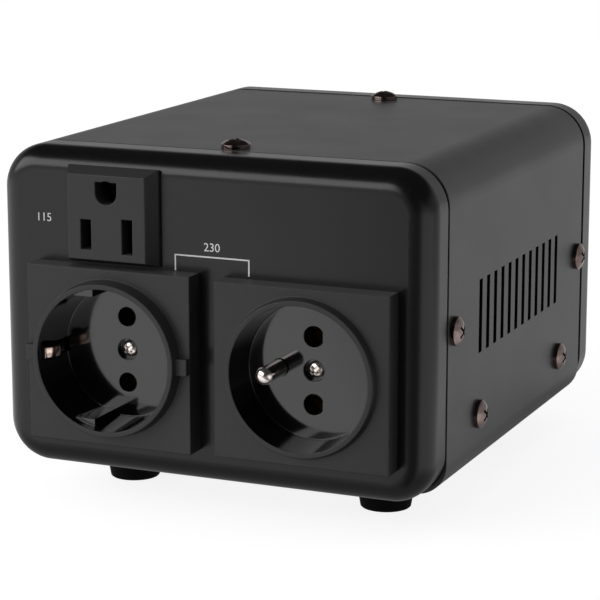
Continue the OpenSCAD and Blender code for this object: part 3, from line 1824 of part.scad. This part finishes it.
front_cap();
rear_cap();
sleeve();
base_tray();
top_screws();
right_screws();
left_screws();
clinch_nuts();
foot_front_left();
foot_front_right();
foot_rear_left();
foot_rear_right();
foot_screws();
foot_nuts();
blade_socket();
blade_live_contact();
blade_neutral_contact();
blade_earth_contact();
side_earth_socket();
side_earth_back();
side_earth_tulips();
side_earth_screw();
earth_clip_left();
earth_clip_right();
pin_earth_socket();
pin_earth_back();
pin_earth_tulips();
pin_earth_screw();
earth_pin();
inlet_body();
inlet_blades();
switch_housing();
switch_rocker();
switch_terminals();
selector_plate();
selector_housing();
selector_slider();
selector_terminals();
small_screws();
small_nuts();
fuse_holder();
fuse_nut();
fuse_carrier();
fuse_glass();
fuse_ends();
fuse_cap();
core();
bobbin();
primary_winding();
secondary_winding();
core_brackets();
core_bolts();
core_nuts();
bracket_screws();
bracket_nuts();
output_wires();
mains_wires();
earth_wires();
earth_stud();
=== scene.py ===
import json
from math import cos, pi, radians, sin

import bmesh
import bpy
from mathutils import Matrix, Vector

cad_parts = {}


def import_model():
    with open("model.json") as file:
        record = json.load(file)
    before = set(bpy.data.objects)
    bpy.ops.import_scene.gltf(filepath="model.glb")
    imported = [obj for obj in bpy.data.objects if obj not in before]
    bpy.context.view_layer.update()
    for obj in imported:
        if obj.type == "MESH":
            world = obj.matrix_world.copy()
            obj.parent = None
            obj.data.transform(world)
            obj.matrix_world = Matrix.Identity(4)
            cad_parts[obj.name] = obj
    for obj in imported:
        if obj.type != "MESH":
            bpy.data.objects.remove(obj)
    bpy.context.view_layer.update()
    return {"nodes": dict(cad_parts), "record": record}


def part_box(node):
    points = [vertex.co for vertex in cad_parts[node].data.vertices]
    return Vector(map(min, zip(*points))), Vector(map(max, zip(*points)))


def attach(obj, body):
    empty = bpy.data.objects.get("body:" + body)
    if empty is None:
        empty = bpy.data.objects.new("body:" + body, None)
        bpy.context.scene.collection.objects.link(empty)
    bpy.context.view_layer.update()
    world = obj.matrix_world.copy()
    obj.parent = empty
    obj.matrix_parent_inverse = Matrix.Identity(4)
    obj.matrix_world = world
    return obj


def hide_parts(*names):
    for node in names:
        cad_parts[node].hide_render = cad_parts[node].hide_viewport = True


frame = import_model()
NODES = frame["nodes"]
RECORD = frame["record"]
SLOT = {s["node"]: s["material_slot"] for s in RECORD["subparts"]}
BODY = {n: b for b, ns in RECORD["behaviour"]["bodies"].items() for n in ns}
MM = 0.001
scene = bpy.context.scene


# Shader nodes

def material(name, colour, rough, metal=0.0, **sockets):
    """A Principled material; returns it with its node tree and shader."""
    m = bpy.data.materials.new(name)
    m.use_nodes = True
    nt = m.node_tree
    bsdf = nt.nodes["Principled BSDF"]
    bsdf.inputs["Base Color"].default_value = (*colour, 1)
    bsdf.inputs["Roughness"].default_value = rough
    bsdf.inputs["Metallic"].default_value = metal
    for key, value in sockets.items():
        bsdf.inputs[key.replace("_", " ")].default_value = value
    return m, nt, bsdf


def object_coords(nt, scale=(1, 1, 1)):
    """Places on the object, in metres times scale."""
    tc = nt.nodes.new("ShaderNodeTexCoord")
    mp = nt.nodes.new("ShaderNodeMapping")
    mp.inputs["Scale"].default_value = scale
    nt.links.new(tc.outputs["Object"], mp.inputs["Vector"])
    return mp.outputs["Vector"]


def axes(nt, vec):
    """The X, Y and Z of a vector."""
    sep = nt.nodes.new("ShaderNodeSeparateXYZ")
    nt.links.new(vec, sep.inputs["Vector"])
    return sep.outputs["X"], sep.outputs["Y"], sep.outputs["Z"]


def math_node(nt, op, a, b):
    """One operation on two values, each a number or a node's output."""
    n = nt.nodes.new("ShaderNodeMath")
    n.operation = op
    for i, v in enumerate((a, b)):
        if isinstance(v, (int, float)):
            n.inputs[i].default_value = v
        else:
            nt.links.new(v, n.inputs[i])
    return n.outputs[0]


def noise(nt, vec, size, detail=2.0, rough=0.5):
    """Noise whose features are about size metres across."""
    n = nt.nodes.new("ShaderNodeTexNoise")
    n.inputs["Scale"].default_value = 1 / size
    n.inputs["Detail"].default_value = detail
    n.inputs["Roughness"].default_value = rough
    nt.links.new(vec, n.inputs["Vector"])
    return n.outputs["Fac"]


def stripes(nt, vec, direction, size, distortion=0.0):
    """Bands across one direction, about 0.63 of size apart."""
    w = nt.nodes.new("ShaderNodeTexWave")
    w.bands_direction = direction
    w.inputs["Scale"].default_value = 0.5 / size
    w.inputs["Distortion"].default_value = distortion
    nt.links.new(vec, w.inputs["Vector"])
    return w.outputs["Fac"]


def remap(nt, value, lo, hi, a=0.3, b=0.7, kind="LINEAR"):
    """Carries the range a to b over to the range lo to hi."""
    r = nt.nodes.new("ShaderNodeMapRange")
    r.interpolation_type = kind
    r.inputs["From Min"].default_value = a
    r.inputs["From Max"].default_value = b
    r.inputs["To Min"].default_value = lo
    r.inputs["To Max"].default_value = hi
    nt.links.new(value, r.inputs["Value"])
    return r.outputs["Result"]


def ramp(nt, value, lo, hi, a, b):
    """A smooth step from lo at a to hi at b."""
    return remap(nt, value, lo, hi, a, b, "SMOOTHSTEP")


def blend_colour(nt, fac, a, b):
    """Colour a where fac is 0, and b where it is 1."""
    mx = nt.nodes.new("ShaderNodeMix")
    mx.data_type = "RGBA"
    mx.inputs["A"].default_value = (*a, 1)
    mx.inputs["B"].default_value = (*b, 1)
    nt.links.new(fac, mx.inputs["Factor"])
    return mx.outputs["Result"]


def bump(nt, bsdf, height, strength, depth, edge=0.0):
    """Fine relief, on edges that catch the light as if rounded by edge metres."""
    b = nt.nodes.new("ShaderNodeBump")
    if edge:
        soft = nt.nodes.new("ShaderNodeBevel")
        soft.samples = 6
        soft.inputs["Radius"].default_value = edge
        nt.links.new(soft.outputs["Normal"], b.inputs["Normal"])
    b.inputs["Strength"].default_value = strength
    b.inputs["Distance"].default_value = depth
    nt.links.new(height, b.inputs["Height"])
    nt.links.new(b.outputs["Normal"], bsdf.inputs["Normal"])


# Materials, with sizes and depths in metres

# Patches of gloss on plastic, patches of tone on metal, and metal's grain: its size, then strength and depth
PLASTIC_CLOUD = 0.02
METAL_CLOUD = 0.004
METAL_GRAIN = 0.0006
METAL_RELIEF = (0.12, 0.00003)

# How far behind the socket's mouth the earth clips stay bright, and from where painted shade makes them dark
BRIGHT_TO = 0.0085
SHADE_FROM = 0.0105

# Painted light from above, on the faces that look up: it is full this far behind the rim, after fading in
# over this length, on normals that point up this much
TOP_LIGHT_BEHIND = 0.0022
TOP_LIGHT_FADE = 0.0004
TOP_LIGHT_UP = 0.9


def moulded(name, dark, light, rough, grain, grain_depth, strength=0.35, edge=0.0, **sockets):
    """Plastic or paint: cloudy gloss, and colour that follows a fine grain."""
    m, nt, bsdf = material(name, dark, rough[0], **sockets)
    vec = object_coords(nt)
    cloud = noise(nt, vec, PLASTIC_CLOUD, 3)
    speck = noise(nt, vec, grain, 3)
    nt.links.new(blend_colour(nt, remap(nt, speck, 0, 1), dark, light), bsdf.inputs["Base Color"])
    nt.links.new(remap(nt, cloud, *rough), bsdf.inputs["Roughness"])
    bump(nt, bsdf, speck, strength, grain_depth, edge)
    return m


def metal_finish(name, dark, light, rough, streak=(1, 1, 1), edge=0.0):
    """Metal with a brushed or tumbled grain."""
    m, nt, bsdf = material(name, dark, rough[0], 1.0)
    speck = noise(nt, object_coords(nt, streak), METAL_GRAIN, 4)
    cloud = noise(nt, object_coords(nt), METAL_CLOUD, 2)
    nt.links.new(blend_colour(nt, remap(nt, cloud, 0, 1), dark, light), bsdf.inputs["Base Color"])
    nt.links.new(remap(nt, speck, *rough), bsdf.inputs["Roughness"])
    bump(nt, bsdf, speck, *METAL_RELIEF, edge)
    return m


def wound(name, dark, light, size):
    """Enamelled wire: fine turns stacked upwards."""
    m, nt, bsdf = material(name, dark, 0.3, 0.8)
    vec = object_coords(nt)
    turns = stripes(nt, vec, "Z", size, 0.4)
    nt.links.new(blend_colour(nt, turns, dark, light), bsdf.inputs["Base Color"])
    nt.links.new(remap(nt, noise(nt, vec, 0.003), 0.22, 0.4), bsdf.inputs["Roughness"])
    bump(nt, bsdf, turns, 0.6, 0.0002)
    return m


def laminated(name, dark, light, size):
    """Steel sheets stacked from front to back."""
    m, nt, bsdf = material(name, dark, 0.4, 0.9)
    vec = object_coords(nt)
    sheets = stripes(nt, vec, "Y", size)
    nt.links.new(blend_colour(nt, sheets, dark, light), bsdf.inputs["Base Color"])
    nt.links.new(remap(nt, noise(nt, vec, 0.002), 0.32, 0.5), bsdf.inputs["Roughness"])
    bump(nt, bsdf, sheets, 0.4, 0.0001)
    return m


def glass(name):
    """Clear glass with faint smears."""
    m, nt, bsdf = material(name, (0.95, 0.97, 0.96), 0.03, Transmission_Weight=1.0, IOR=1.5)
    smear = noise(nt, object_coords(nt), 0.003, 2)
    nt.links.new(remap(nt, smear, 0.02, 0.08), bsdf.inputs["Roughness"])
    return m


def shaded_copper(name, bright, shaded):
    """Copper, bright near the socket's mouth and painted darker further in, as shade deep in the well."""
    m, nt, bsdf = material(name, bright, 0.2, 1.0)
    vec = object_coords(nt)
    _, y, _ = axes(nt, vec)
    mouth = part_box("side_earth_socket")[0].y
    # Painted shade: the copper turns dark further in behind the mouth
    inner = ramp(nt, y, 0.0, 1.0, mouth + BRIGHT_TO, mouth + SHADE_FROM)
    cloud = noise(nt, vec, METAL_CLOUD, 2)
    shade_fac = math_node(nt, "SUBTRACT", math_node(nt, "MULTIPLY", inner, 1.1),
                     math_node(nt, "MULTIPLY", cloud, 0.15))
    nt.links.new(blend_colour(nt, shade_fac, bright, shaded), bsdf.inputs["Base Color"])
    nt.links.new(remap(nt, cloud, 0.16, 0.28), bsdf.inputs["Roughness"])
    grain = noise(nt, object_coords(nt, (1, 0.2, 1)), METAL_GRAIN, 4)
    bump(nt, bsdf, grain, *METAL_RELIEF, edge=0.0002)
    return m


def print_ink(name, dark, light):
    """Pale ink with a fine mottle."""
    m, nt, bsdf = material(name, light, 0.5)
    dots = noise(nt, object_coords(nt), 0.00025, 3)
    nt.links.new(blend_colour(nt, remap(nt, dots, 0, 1), dark, light), bsdf.inputs["Base Color"])
    nt.links.new(remap(nt, dots, 0.42, 0.6), bsdf.inputs["Roughness"])
    return m


def paint_top_light(mat, top_light_colour, edge_y):
    """Painted light from above: a paler colour on the faces that look up, behind edge_y."""
    nt = mat.node_tree
    bsdf = nt.nodes["Principled BSDF"]
    plain = bsdf.inputs["Base Color"].links[0].from_socket
    _, _, up = axes(nt, nt.nodes.new("ShaderNodeNewGeometry").outputs["True Normal"])
    _, y, _ = axes(nt, object_coords(nt))
    top_light_mask = math_node(nt, "MULTIPLY", ramp(nt, up, 0.0, 1.0, TOP_LIGHT_UP, 1.0),
                     ramp(nt, y, 0.0, 1.0, edge_y - TOP_LIGHT_FADE, edge_y))
    mx = nt.nodes.new("ShaderNodeMix")
    mx.data_type = "RGBA"
    nt.links.new(plain, mx.inputs["A"])
    mx.inputs["B"].default_value = (*top_light_colour, 1)
    nt.links.new(top_light_mask, mx.inputs["Factor"])
    nt.links.new(mx.outputs["Result"], bsdf.inputs["Base Color"])


# A dark and a light colour and a range of roughness; plastics then have the size and depth of their grain
MATERIALS = {
    "cap_plastic": moulded(
        "cap_plastic", (0.003, 0.003, 0.0032), (0.007, 0.007, 0.0073), (0.2, 0.25),
        0.0004, 0.00004, edge=0.0004, Specular_IOR_Level=0.35),
    "sleeve_paint": moulded(
        "sleeve_paint", (0.026, 0.026, 0.0262), (0.035, 0.035, 0.0353), (0.36, 0.39),
        0.0007, 0.00003, 0.25, edge=0.0003, Specular_IOR_Level=0.52),
    "tray_steel": metal_finish(
        "tray_steel", (0.5, 0.5, 0.51), (0.62, 0.62, 0.63), (0.3, 0.45), (1, 0.1, 1), edge=0.0002),
    "bronze_screw": metal_finish(
        "bronze_screw", (0.15, 0.108, 0.1), (0.3, 0.235, 0.22), (0.08, 0.16), edge=0.0003),
    "zinc": metal_finish(
        "zinc", (0.5, 0.5, 0.52), (0.68, 0.68, 0.7), (0.25, 0.38), edge=0.0002),
    "foot_rubber": moulded(
        "foot_rubber", (0.001, 0.001, 0.001), (0.003, 0.003, 0.003), (0.6, 0.7),
        0.0005, 0.00006, edge=0.0003, Specular_IOR_Level=0.12),
    "socket_plastic": moulded(
        "socket_plastic", (0.019, 0.019, 0.0192), (0.027, 0.027, 0.0273), (0.36, 0.42),
        0.0004, 0.00004, 0.3, edge=0.0005, Specular_IOR_Level=0.34),
    "inner_plastic": moulded(
        "inner_plastic", (0.005, 0.005, 0.005), (0.01, 0.01, 0.01), (0.42, 0.55),
        0.0005, 0.00004, edge=0.0003),
    "contact_brass": metal_finish(
        "contact_brass", (0.2, 0.12, 0.04), (0.32, 0.21, 0.08), (0.32, 0.46)),
    # The earth clips' copper gets painted shade further into the well
    "clip_copper": shaded_copper("clip_copper", (0.88, 0.67, 0.59), (0.045, 0.03, 0.025)),
    "nickel": metal_finish(
        "nickel", (0.74, 0.67, 0.64), (0.86, 0.8, 0.77), (0.14, 0.24), edge=0.0003),
    "fitting_plastic": moulded(
        "fitting_plastic", (0.005, 0.005, 0.0052), (0.01, 0.01, 0.0103), (0.26, 0.34),
        0.0004, 0.00003, 0.2, edge=0.0004),
    "slider_red": moulded(
        "slider_red", (0.42, 0.02, 0.016), (0.55, 0.035, 0.026), (0.32, 0.42),
        0.0004, 0.00003, 0.2, edge=0.0002),
    "fuse_glass": glass("fuse_glass"),
    "core_steel": laminated("core_steel", (0.1, 0.1, 0.105), (0.32, 0.32, 0.33), 0.0005),
    "bobbin_plastic": moulded(
        "bobbin_plastic", (0.6, 0.55, 0.42), (0.7, 0.65, 0.52), (0.4, 0.5), 0.0006, 0.00004),
    "winding_copper": wound("winding_copper", (0.28, 0.08, 0.03), (0.6, 0.24, 0.1), 0.0006),
    "wire_brown": moulded(
        "wire_brown", (0.12, 0.05, 0.02), (0.17, 0.075, 0.032), (0.35, 0.45), 0.0006, 0.00003),
    "wire_blue": moulded(
        "wire_blue", (0.02, 0.06, 0.3), (0.035, 0.09, 0.4), (0.35, 0.45), 0.0006, 0.00003),
    "wire_green": moulded(
        "wire_green", (0.05, 0.25, 0.04), (0.6, 0.55, 0.04), (0.35, 0.45), 0.0035, 0.00003, 0.1),
}

# Painted light from above: the socket plastic's upward faces behind the sockets' rims are painted paler
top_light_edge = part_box("pin_earth_socket")[0].y + TOP_LIGHT_BEHIND
paint_top_light(MATERIALS["socket_plastic"], (0.055, 0.055, 0.055), top_light_edge)

WELL = moulded(
    "well_gloss", (0.0015, 0.0015, 0.0016), (0.003, 0.003, 0.0031), (0.07, 0.11),
    0.006, 0.00001, 0.05, edge=0.0004, Specular_IOR_Level=0.75)

# Near-black painted shade, for the shade inside the sleeve's slots and at the floor of the earth pin's well
PAINTED_SHADE = moulded(
    "painted_shade", (0.0006, 0.0006, 0.0006), (0.002, 0.002, 0.002), (0.7, 0.8),
    0.0005, 0.00004, Specular_IOR_Level=0.05)

INK = print_ink("print_ink", (0.66, 0.66, 0.65), (0.84, 0.84, 0.83))

for node, ob in NODES.items():
    ob.data.materials.clear()
    ob.data.materials.append(MATERIALS[SLOT[node]])


# Pieces

def centre(node):
    lo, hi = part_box(node)
    return (lo + hi) / 2


def to_mesh(bm, name):
    """Turns a bmesh into a mesh and frees it."""
    mesh = bpy.data.meshes.new(name)
    bm.to_mesh(mesh)
    bm.free()
    return mesh


def add(name, mesh, body, mat):
    """A new object that rides on a body."""
    ob = bpy.data.objects.new(name, mesh)
    scene.collection.objects.link(ob)
    mesh.materials.clear()
    mesh.materials.append(mat)
    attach(ob, body)
    return ob


# A second finish on some faces of a node

# Radius of the round wells, and where the earth pin goes into the floor of its well
WELL_R = 20.3 * MM
PIN_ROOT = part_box("pin_earth_socket")[0].y + 10.8 * MM

# The sleeve's slots lie outside FLANK, within VENT_REACH of the middle and between these heights
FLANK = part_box("sleeve")[1].x - 3 * MM
VENT_REACH = 40 * MM
VENT_LOW, VENT_HIGH = 40 * MM, 72 * MM
EDGE_ON = 0.1


def two_finish(node, finish, picks):
    """A copy of a node in its place, with another finish on the faces that picks chooses."""
    mesh = NODES[node].data.copy()
    mesh.name = node + "_piece"
    ob = add(mesh.name, mesh, "case", MATERIALS[SLOT[node]])
    mesh.materials.append(finish)
    for poly in mesh.polygons:
        poly.material_index = int(picks(poly))
    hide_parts(node)


def in_well(screw):
    """Picks the faces of a round socket near the axis of its well."""
    axis = centre(screw)
    return lambda poly: (poly.center.x - axis.x) ** 2 + (poly.center.z - axis.z) ** 2 < WELL_R ** 2


def in_vent(poly):
    """Picks the cut walls of the slots in the sleeve's sides."""
    c = poly.center
    cut = abs(c.x) > FLANK and abs(poly.normal.x) < EDGE_ON
    return cut and abs(c.y) < VENT_REACH and VENT_LOW < c.z < VENT_HIGH


def at_root(poly):
    """Picks the faces of the earth pin at the floor of its well and behind it."""
    return poly.center.y > PIN_ROOT


two_finish("side_earth_socket", WELL, in_well("side_earth_screw"))
two_finish("pin_earth_socket", WELL, in_well("pin_earth_screw"))
# The walls of the sleeve's slots get near-black painted shade
two_finish("sleeve", PAINTED_SHADE, in_vent)
# The earth pin's root at the floor of its well gets the same painted shade
two_finish("earth_pin", PAINTED_SHADE, at_root)


# Side earth clips, in millimetres

# Points that the middle of the clip's inner face passes: out from the well's axis, and in from its rim
CLIP_WAY = [
    (19.1, 27), (19.1, 18), (19.1, 14.6), (18.75, 11.8), (17.9, 9.4), (17.3, 7.6),
    (17.2, 6.4), (17.35, 5.3), (17.75, 4.4), (18.3, 3.65), (18.8, 3.05), (19.05, 2.6),
]
CLIP_STEPS = 5
CLIP_HALF = 1.6
CLIP_THICK = 0.7
CLIP_EDGE = 0.24
CLIP_CROWN = 0.16
CLIP_SHARP = radians(50)


def spline(points, steps):
    """A smooth curve through the points, with so many steps from each to the next."""
    last = len(points) - 1
    path = []
    for i in range(last):
        p0, p1, p2, p3 = (Vector(points[max(0, min(last, i + k))]) for k in (-1, 0, 1, 2))
        for j in range(steps):
            t = j / steps
            path.append(0.5 * (2 * p1 + (p2 - p0) * t + (2 * p0 - 5 * p1 + 4 * p2 - p3) * t * t
                               + (3 * p1 - p0 - 3 * p2 + p3) * t ** 3))
    path.append(Vector(points[-1]))
    return path


def strip_section(half, thick, r):
    """Outline of a flat strip with rounded edges, as pairs of across and through."""
    corners = ((half - r, thick - r, 0), (-half + r, thick - r, 90),
               (-half + r, r, 180), (half - r, r, 270))
    loop = []
    for u, v, start in corners:
        for turn in (0, 30, 60, 90):
            a = radians(start + turn)
            loop.append((u + r * cos(a), v + r * sin(a)))
    return loop


def clip_strip(node, side):
    """Bent sheet strip with rounded edges: tail, bulge and a lead-in that turns outward."""
    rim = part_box("side_earth_socket")[0].y / MM
    lo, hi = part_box("side_earth_screw")
    axis_x, axis_z = (lo.x + hi.x) / 2 / MM, (lo.z + hi.z) / 2 / MM
    path = spline(CLIP_WAY, CLIP_STEPS)
    loop = strip_section(CLIP_HALF, CLIP_THICK, CLIP_EDGE)
    bm = bmesh.new()
    rows = []
    for i, p in enumerate(path):
        t = (path[min(i + 1, len(path) - 1)] - path[max(i - 1, 0)]).normalized()
        n = Vector((-t.y, t.x))
        row = []
        for w, out in loop:
            crown = CLIP_CROWN * (w / CLIP_HALF) ** 2
            q = p + n * (out + crown)
            row.append(bm.verts.new(Vector((axis_x + side * q.x, rim + q.y, axis_z + w)) * MM))
        rows.append(row)
    for a, b in zip(rows, rows[1:]):
        for k in range(len(loop)):
            bm.faces.new((a[k], a[k - 1], b[k - 1], b[k]))
    bm.faces.new(rows[0])
    bm.faces.new(reversed(rows[-1]))
    bmesh.ops.recalc_face_normals(bm, faces=bm.faces)
    mesh = to_mesh(bm, node + "_strip")
    mesh.polygons.foreach_set("use_smooth", [True] * len(mesh.polygons))
    mesh.set_sharp_from_angle(angle=CLIP_SHARP)
    ob = add(mesh.name, mesh, BODY[node], MATERIALS[SLOT[node]])
    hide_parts(node)


clip_strip("earth_clip_left", -1)
clip_strip("earth_clip_right", 1)


# Printed marks, in millimetres

# Thickness of the print, height of the digits, and the share of the font's size that this height is
PRINT = 0.03
DIGIT = 2.4
DIGIT_SHARE = 0.72

# How far the side-earth socket stands out of the panel
COLLAR = 10.5
front_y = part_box("side_earth_socket")[0].y / MM + COLLAR
rear_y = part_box("rear_cap")[1].y / MM

# Middles of the panel's numbers, across and up
PANEL_115 = (-50.5, 82.5)
PANEL_230 = (1.4, 77.6)

# Places of the selector's numbers: in from the plate's ends, and below it
FROM_END, BELOW = 9, 3

# The rocker's marks: distance from its middle, the ring's radii, and half the bar's width and height
MARK_UP = 6
RING = (1.15, 1.55)
RING_STEPS = 40
BAR = (0.22, 1.7)


def strip_mesh(name, boxes):
    """Thin raised bars, each given by its lowest and highest corner."""
    bm = bmesh.new()
    for lo, hi in boxes:
        made = bmesh.ops.create_cube(bm, size=1)["verts"]
        for v in made:
            v.co = Vector([(lo[i] + hi[i]) / 2 + v.co[i] * (hi[i] - lo[i]) for i in range(3)]) * MM
    return to_mesh(bm, name)


def front_line():
    """A bracket on the panel, over the gap between the two round sockets."""
    sunk = 0.01
    y0, y1 = front_y - PRINT, front_y + sunk
    left, right, top, low, w = -9.9, 12.65, 75.2, 70.6, 0.4
    add("front_bracket_line", strip_mesh("front_bracket_line", [
        ((left, y0, top - w), (right, y1, top)),
        ((left, y0, low), (left + w, y1, top - w)),
        ((right - w, y0, low), (right, y1, top - w)),
    ]), "case", INK)


def number(name, digits, place, turn):
    """Printed digits on the case, with their middle at place and turned about Z."""
    curve = bpy.data.curves.new(name + "_curve", "FONT")
    curve.body = digits
    curve.size = DIGIT / DIGIT_SHARE * MM
    curve.extrude = PRINT / 2 * MM
    curve.align_x = "CENTER"
    curve.align_y = "CENTER"
    curve.resolution_u = 6
    temp = bpy.data.objects.new(name + "_curve", curve)
    scene.collection.objects.link(temp)
    temp.rotation_euler = (radians(90), 0, radians(turn))
    temp.location = Vector(place) * MM
    bpy.context.view_layer.update()
    mesh = bpy.data.meshes.new_from_object(temp.evaluated_get(bpy.context.evaluated_depsgraph_get()))
    mesh.transform(temp.matrix_world)
    mesh.name = name
    bpy.data.objects.remove(temp)
    bpy.data.curves.remove(curve)
    add(name, mesh, "case", INK)


def rocker_mark(name, up, ring):
    """A printed bar or ring on the rocker's face, up from its middle."""
    middle = centre("switch_rocker")
    start = Vector((middle.x, middle.y + 50 * MM, middle.z + up * MM))
    _, place, out, _ = NODES["switch_rocker"].ray_cast(start, Vector((0, -1, 0)))
    across = Vector((1, 0, 0))
    upward = out.cross(across)
    low, high = -0.02, PRINT
    if ring:
        turns = [2 * pi * k / RING_STEPS for k in range(RING_STEPS)]
        inner, outer = ([(r * cos(a), r * sin(a)) for a in turns] for r in RING)
        lines = [(inner, low), (inner, high), (outer, high), (outer, low)]
    else:
        w, h = BAR
        bar = [(-w, -h), (w, -h), (w, h), (-w, h)]
        lines = [(bar, low), (bar, high)]
    bm = bmesh.new()
    rows = [[bm.verts.new(place + (across * u + upward * v + out * lift) * MM) for u, v in line]
            for line, lift in lines]
    walls = list(zip(rows, rows[1:] + rows[:1])) if ring else [rows]
    for a, b in walls:
        for k in range(len(a)):
            bm.faces.new((a[k - 1], a[k], b[k], b[k - 1]))
    if not ring:
        for row in rows:
            bm.faces.new(row)
    bmesh.ops.recalc_face_normals(bm, faces=bm.faces)
    add(name, to_mesh(bm, name), BODY["switch_rocker"], INK)


front_line()
number("front_number_115", "115", (PANEL_115[0], front_y, PANEL_115[1]), 0)
number("front_number_230", "230", (PANEL_230[0], front_y, PANEL_230[1]), 0)

plate_lo, plate_hi = (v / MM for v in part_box("selector_plate"))
number("rear_number_230", "230", (plate_hi.x - FROM_END, rear_y, plate_lo.z - BELOW), 180)
number("rear_number_115", "115", (plate_lo.x + FROM_END, rear_y, plate_lo.z - BELOW), 180)
rocker_mark("rocker_mark_on", MARK_UP, False)
rocker_mark("rocker_mark_off", -MARK_UP, True)


# Camera, in millimetres and degrees

CAMERA_PLACE = (272.318, -647.293, 200.199)
CAMERA_TILT, CAMERA_TURN = 77.763, 23.196
CAMERA_LENS, CAMERA_SENSOR = 141.854, 36

cam_data = bpy.data.cameras.new("camera")
cam = bpy.data.objects.new("camera", cam_data)
scene.collection.objects.link(cam)
cam_data.sensor_width = CAMERA_SENSOR
cam_data.lens = CAMERA_LENS
cam.location = Vector(CAMERA_PLACE) * MM
cam.rotation_euler = (radians(CAMERA_TILT), 0, radians(CAMERA_TURN))
scene.camera = cam


# Floor, backdrop and lamp, in metres

# Ways across the plan that the studio leaves dim: in the backdrop, and on the floor as seen from DIM_FROM
DIM_SIDE = (0.276, -0.961)
DIM_FLOOR = (0.174, -0.985)
DIM_FROM = (0.06, -0.08)

# Half the case's width and length, round which the floor is dim as a painted shadow of the case
CASE_HALF = (0.065, 0.076)

# Half the floor's width, its own tone, and its brightness as the camera sees it
FLOOR_HALF = 6
FLOOR_TONE = 0.26
FLOOR_SEEN = 0.86

# Ramps: first level, last level, where the change starts and where it ends
FLOOR_NEAR_SHADOW = (0.25, 1.0, 0.01, 0.06)
FLOOR_DIM = (1.0, 0.0, 0.74, 0.97)
FLOOR_BEHIND = (1.0, 0.52, -0.06, 0.14)
SKY_FRONT = (0.75, 0.03, 0.0, 0.4)
SKY_BACK = (0.44, 0.03, 0.25, 0.6)
SKY_TURN = (0.0, 1.0, -0.3, 0.3)
SKY_DIM = (1.0, 0.05, 0.77, 0.985)

# Plain light from all round
FILL = 0.5


def length(nt, x, y):
    """Length of the line to x and y."""
    square = math_node(nt, "ADD", math_node(nt, "MULTIPLY", x, x), math_node(nt, "MULTIPLY", y, y))
    return math_node(nt, "SQRT", square, 0)


def along(nt, x, y, way):
    """How far x and y reach along a way across the plan."""
    return math_node(nt, "ADD", math_node(nt, "MULTIPLY", x, way[0]),
                     math_node(nt, "MULTIPLY", y, way[1]))


def past(nt, value, half):
    """How far a value lies outside the range from -half to half."""
    beyond = math_node(nt, "SUBTRACT", math_node(nt, "ABSOLUTE", value, 0), half)
    return math_node(nt, "MAXIMUM", beyond, 0)


def rays(nt):
    """Rays from the camera, and rays that come by way of a polished or clear surface."""
    path = nt.nodes.new("ShaderNodeLightPath")
    mirror = math_node(nt, "MAXIMUM", path.outputs["Is Glossy Ray"], path.outputs["Is Transmission Ray"])
    return path.outputs["Is Camera Ray"], mirror


def floor():
    """Pale floor, mirrored dimly behind the case and on the dim side, and close to the case as a painted
    shadow of it.
    """
    bm = bmesh.new()
    bmesh.ops.create_grid(bm, x_segments=1, y_segments=1, size=FLOOR_HALF)
    mesh = to_mesh(bm, "floor")
    ob = bpy.data.objects.new("floor", mesh)
    scene.collection.objects.link(ob)
    m, nt, bsdf = material("floor_white", (FLOOR_TONE,) * 3, 0.7, Emission_Color=(1, 1, 1, 1))
    x, y, _ = axes(nt, object_coords(nt))
    off_x = math_node(nt, "SUBTRACT", x, DIM_FROM[0])
    off_y = math_node(nt, "SUBTRACT", y, DIM_FROM[1])
    distance = math_node(nt, "ADD", length(nt, off_x, off_y), MM)
    aside = math_node(nt, "DIVIDE", along(nt, off_x, off_y, DIM_FLOOR), distance)
    # Painted shadow of the case: the floor's mirrored glow is dimmed close to its sides
    gap = length(nt, past(nt, x, CASE_HALF[0]), past(nt, y, CASE_HALF[1]))
    glow = math_node(nt, "MULTIPLY", ramp(nt, gap, *FLOOR_NEAR_SHADOW), ramp(nt, aside, *FLOOR_DIM))
    glow = math_node(nt, "MULTIPLY", glow, ramp(nt, y, *FLOOR_BEHIND))
    camera, mirror = rays(nt)
    shown = math_node(nt, "ADD", math_node(nt, "MULTIPLY", camera, FLOOR_SEEN),
                      math_node(nt, "MULTIPLY", mirror, glow))
    nt.links.new(shown, bsdf.inputs["Emission Strength"])
    mesh.materials.append(m)


def world():
    """White to the camera, and mirrored pale low down and dark overhead and on the dim side."""
    w = bpy.data.worlds.new("studio")
    scene.world = w
    w.use_nodes = True
    nt = w.node_tree
    bg = nt.nodes["Background"]
    x, y, z = axes(nt, nt.nodes.new("ShaderNodeTexCoord").outputs["Generated"])
    share = ramp(nt, y, *SKY_TURN)
    back = math_node(nt, "MULTIPLY", ramp(nt, z, *SKY_BACK), share)
    front = math_node(nt, "MULTIPLY", ramp(nt, z, *SKY_FRONT), math_node(nt, "SUBTRACT", 1.0, share))
    dim = ramp(nt, along(nt, x, y, DIM_SIDE), *SKY_DIM)
    studio = math_node(nt, "MULTIPLY", math_node(nt, "ADD", back, front), dim)
    camera, mirror = rays(nt)
    seen = math_node(nt, "MAXIMUM", camera, math_node(nt, "MULTIPLY", mirror, studio))
    plain = math_node(nt, "SUBTRACT", 1.0, math_node(nt, "MAXIMUM", camera, mirror))
    level = math_node(nt, "ADD", seen, math_node(nt, "MULTIPLY", plain, FILL))
    nt.links.new(level, bg.inputs["Strength"])
    bg.inputs["Color"].default_value = (1, 1, 1, 1)


def lamp(name, place, target, size, power):
    """A rectangular area lamp that faces its target."""
    data = bpy.data.lights.new(name, "AREA")
    data.shape = "RECTANGLE"
    data.size, data.size_y = size
    data.energy = power
    ob = bpy.data.objects.new(name, data)
    scene.collection.objects.link(ob)
    ob.location = place
    ob.rotation_euler = (Vector(target) - Vector(place)).to_track_quat("-Z", "Y").to_euler()


floor()
world()
lamp("key", place=(-0.8, -0.89, 0.6), target=(0.0, -0.08, 0.1), size=(1.6, 0.6), power=10.5)

scene.view_settings.view_transform = "Standard"
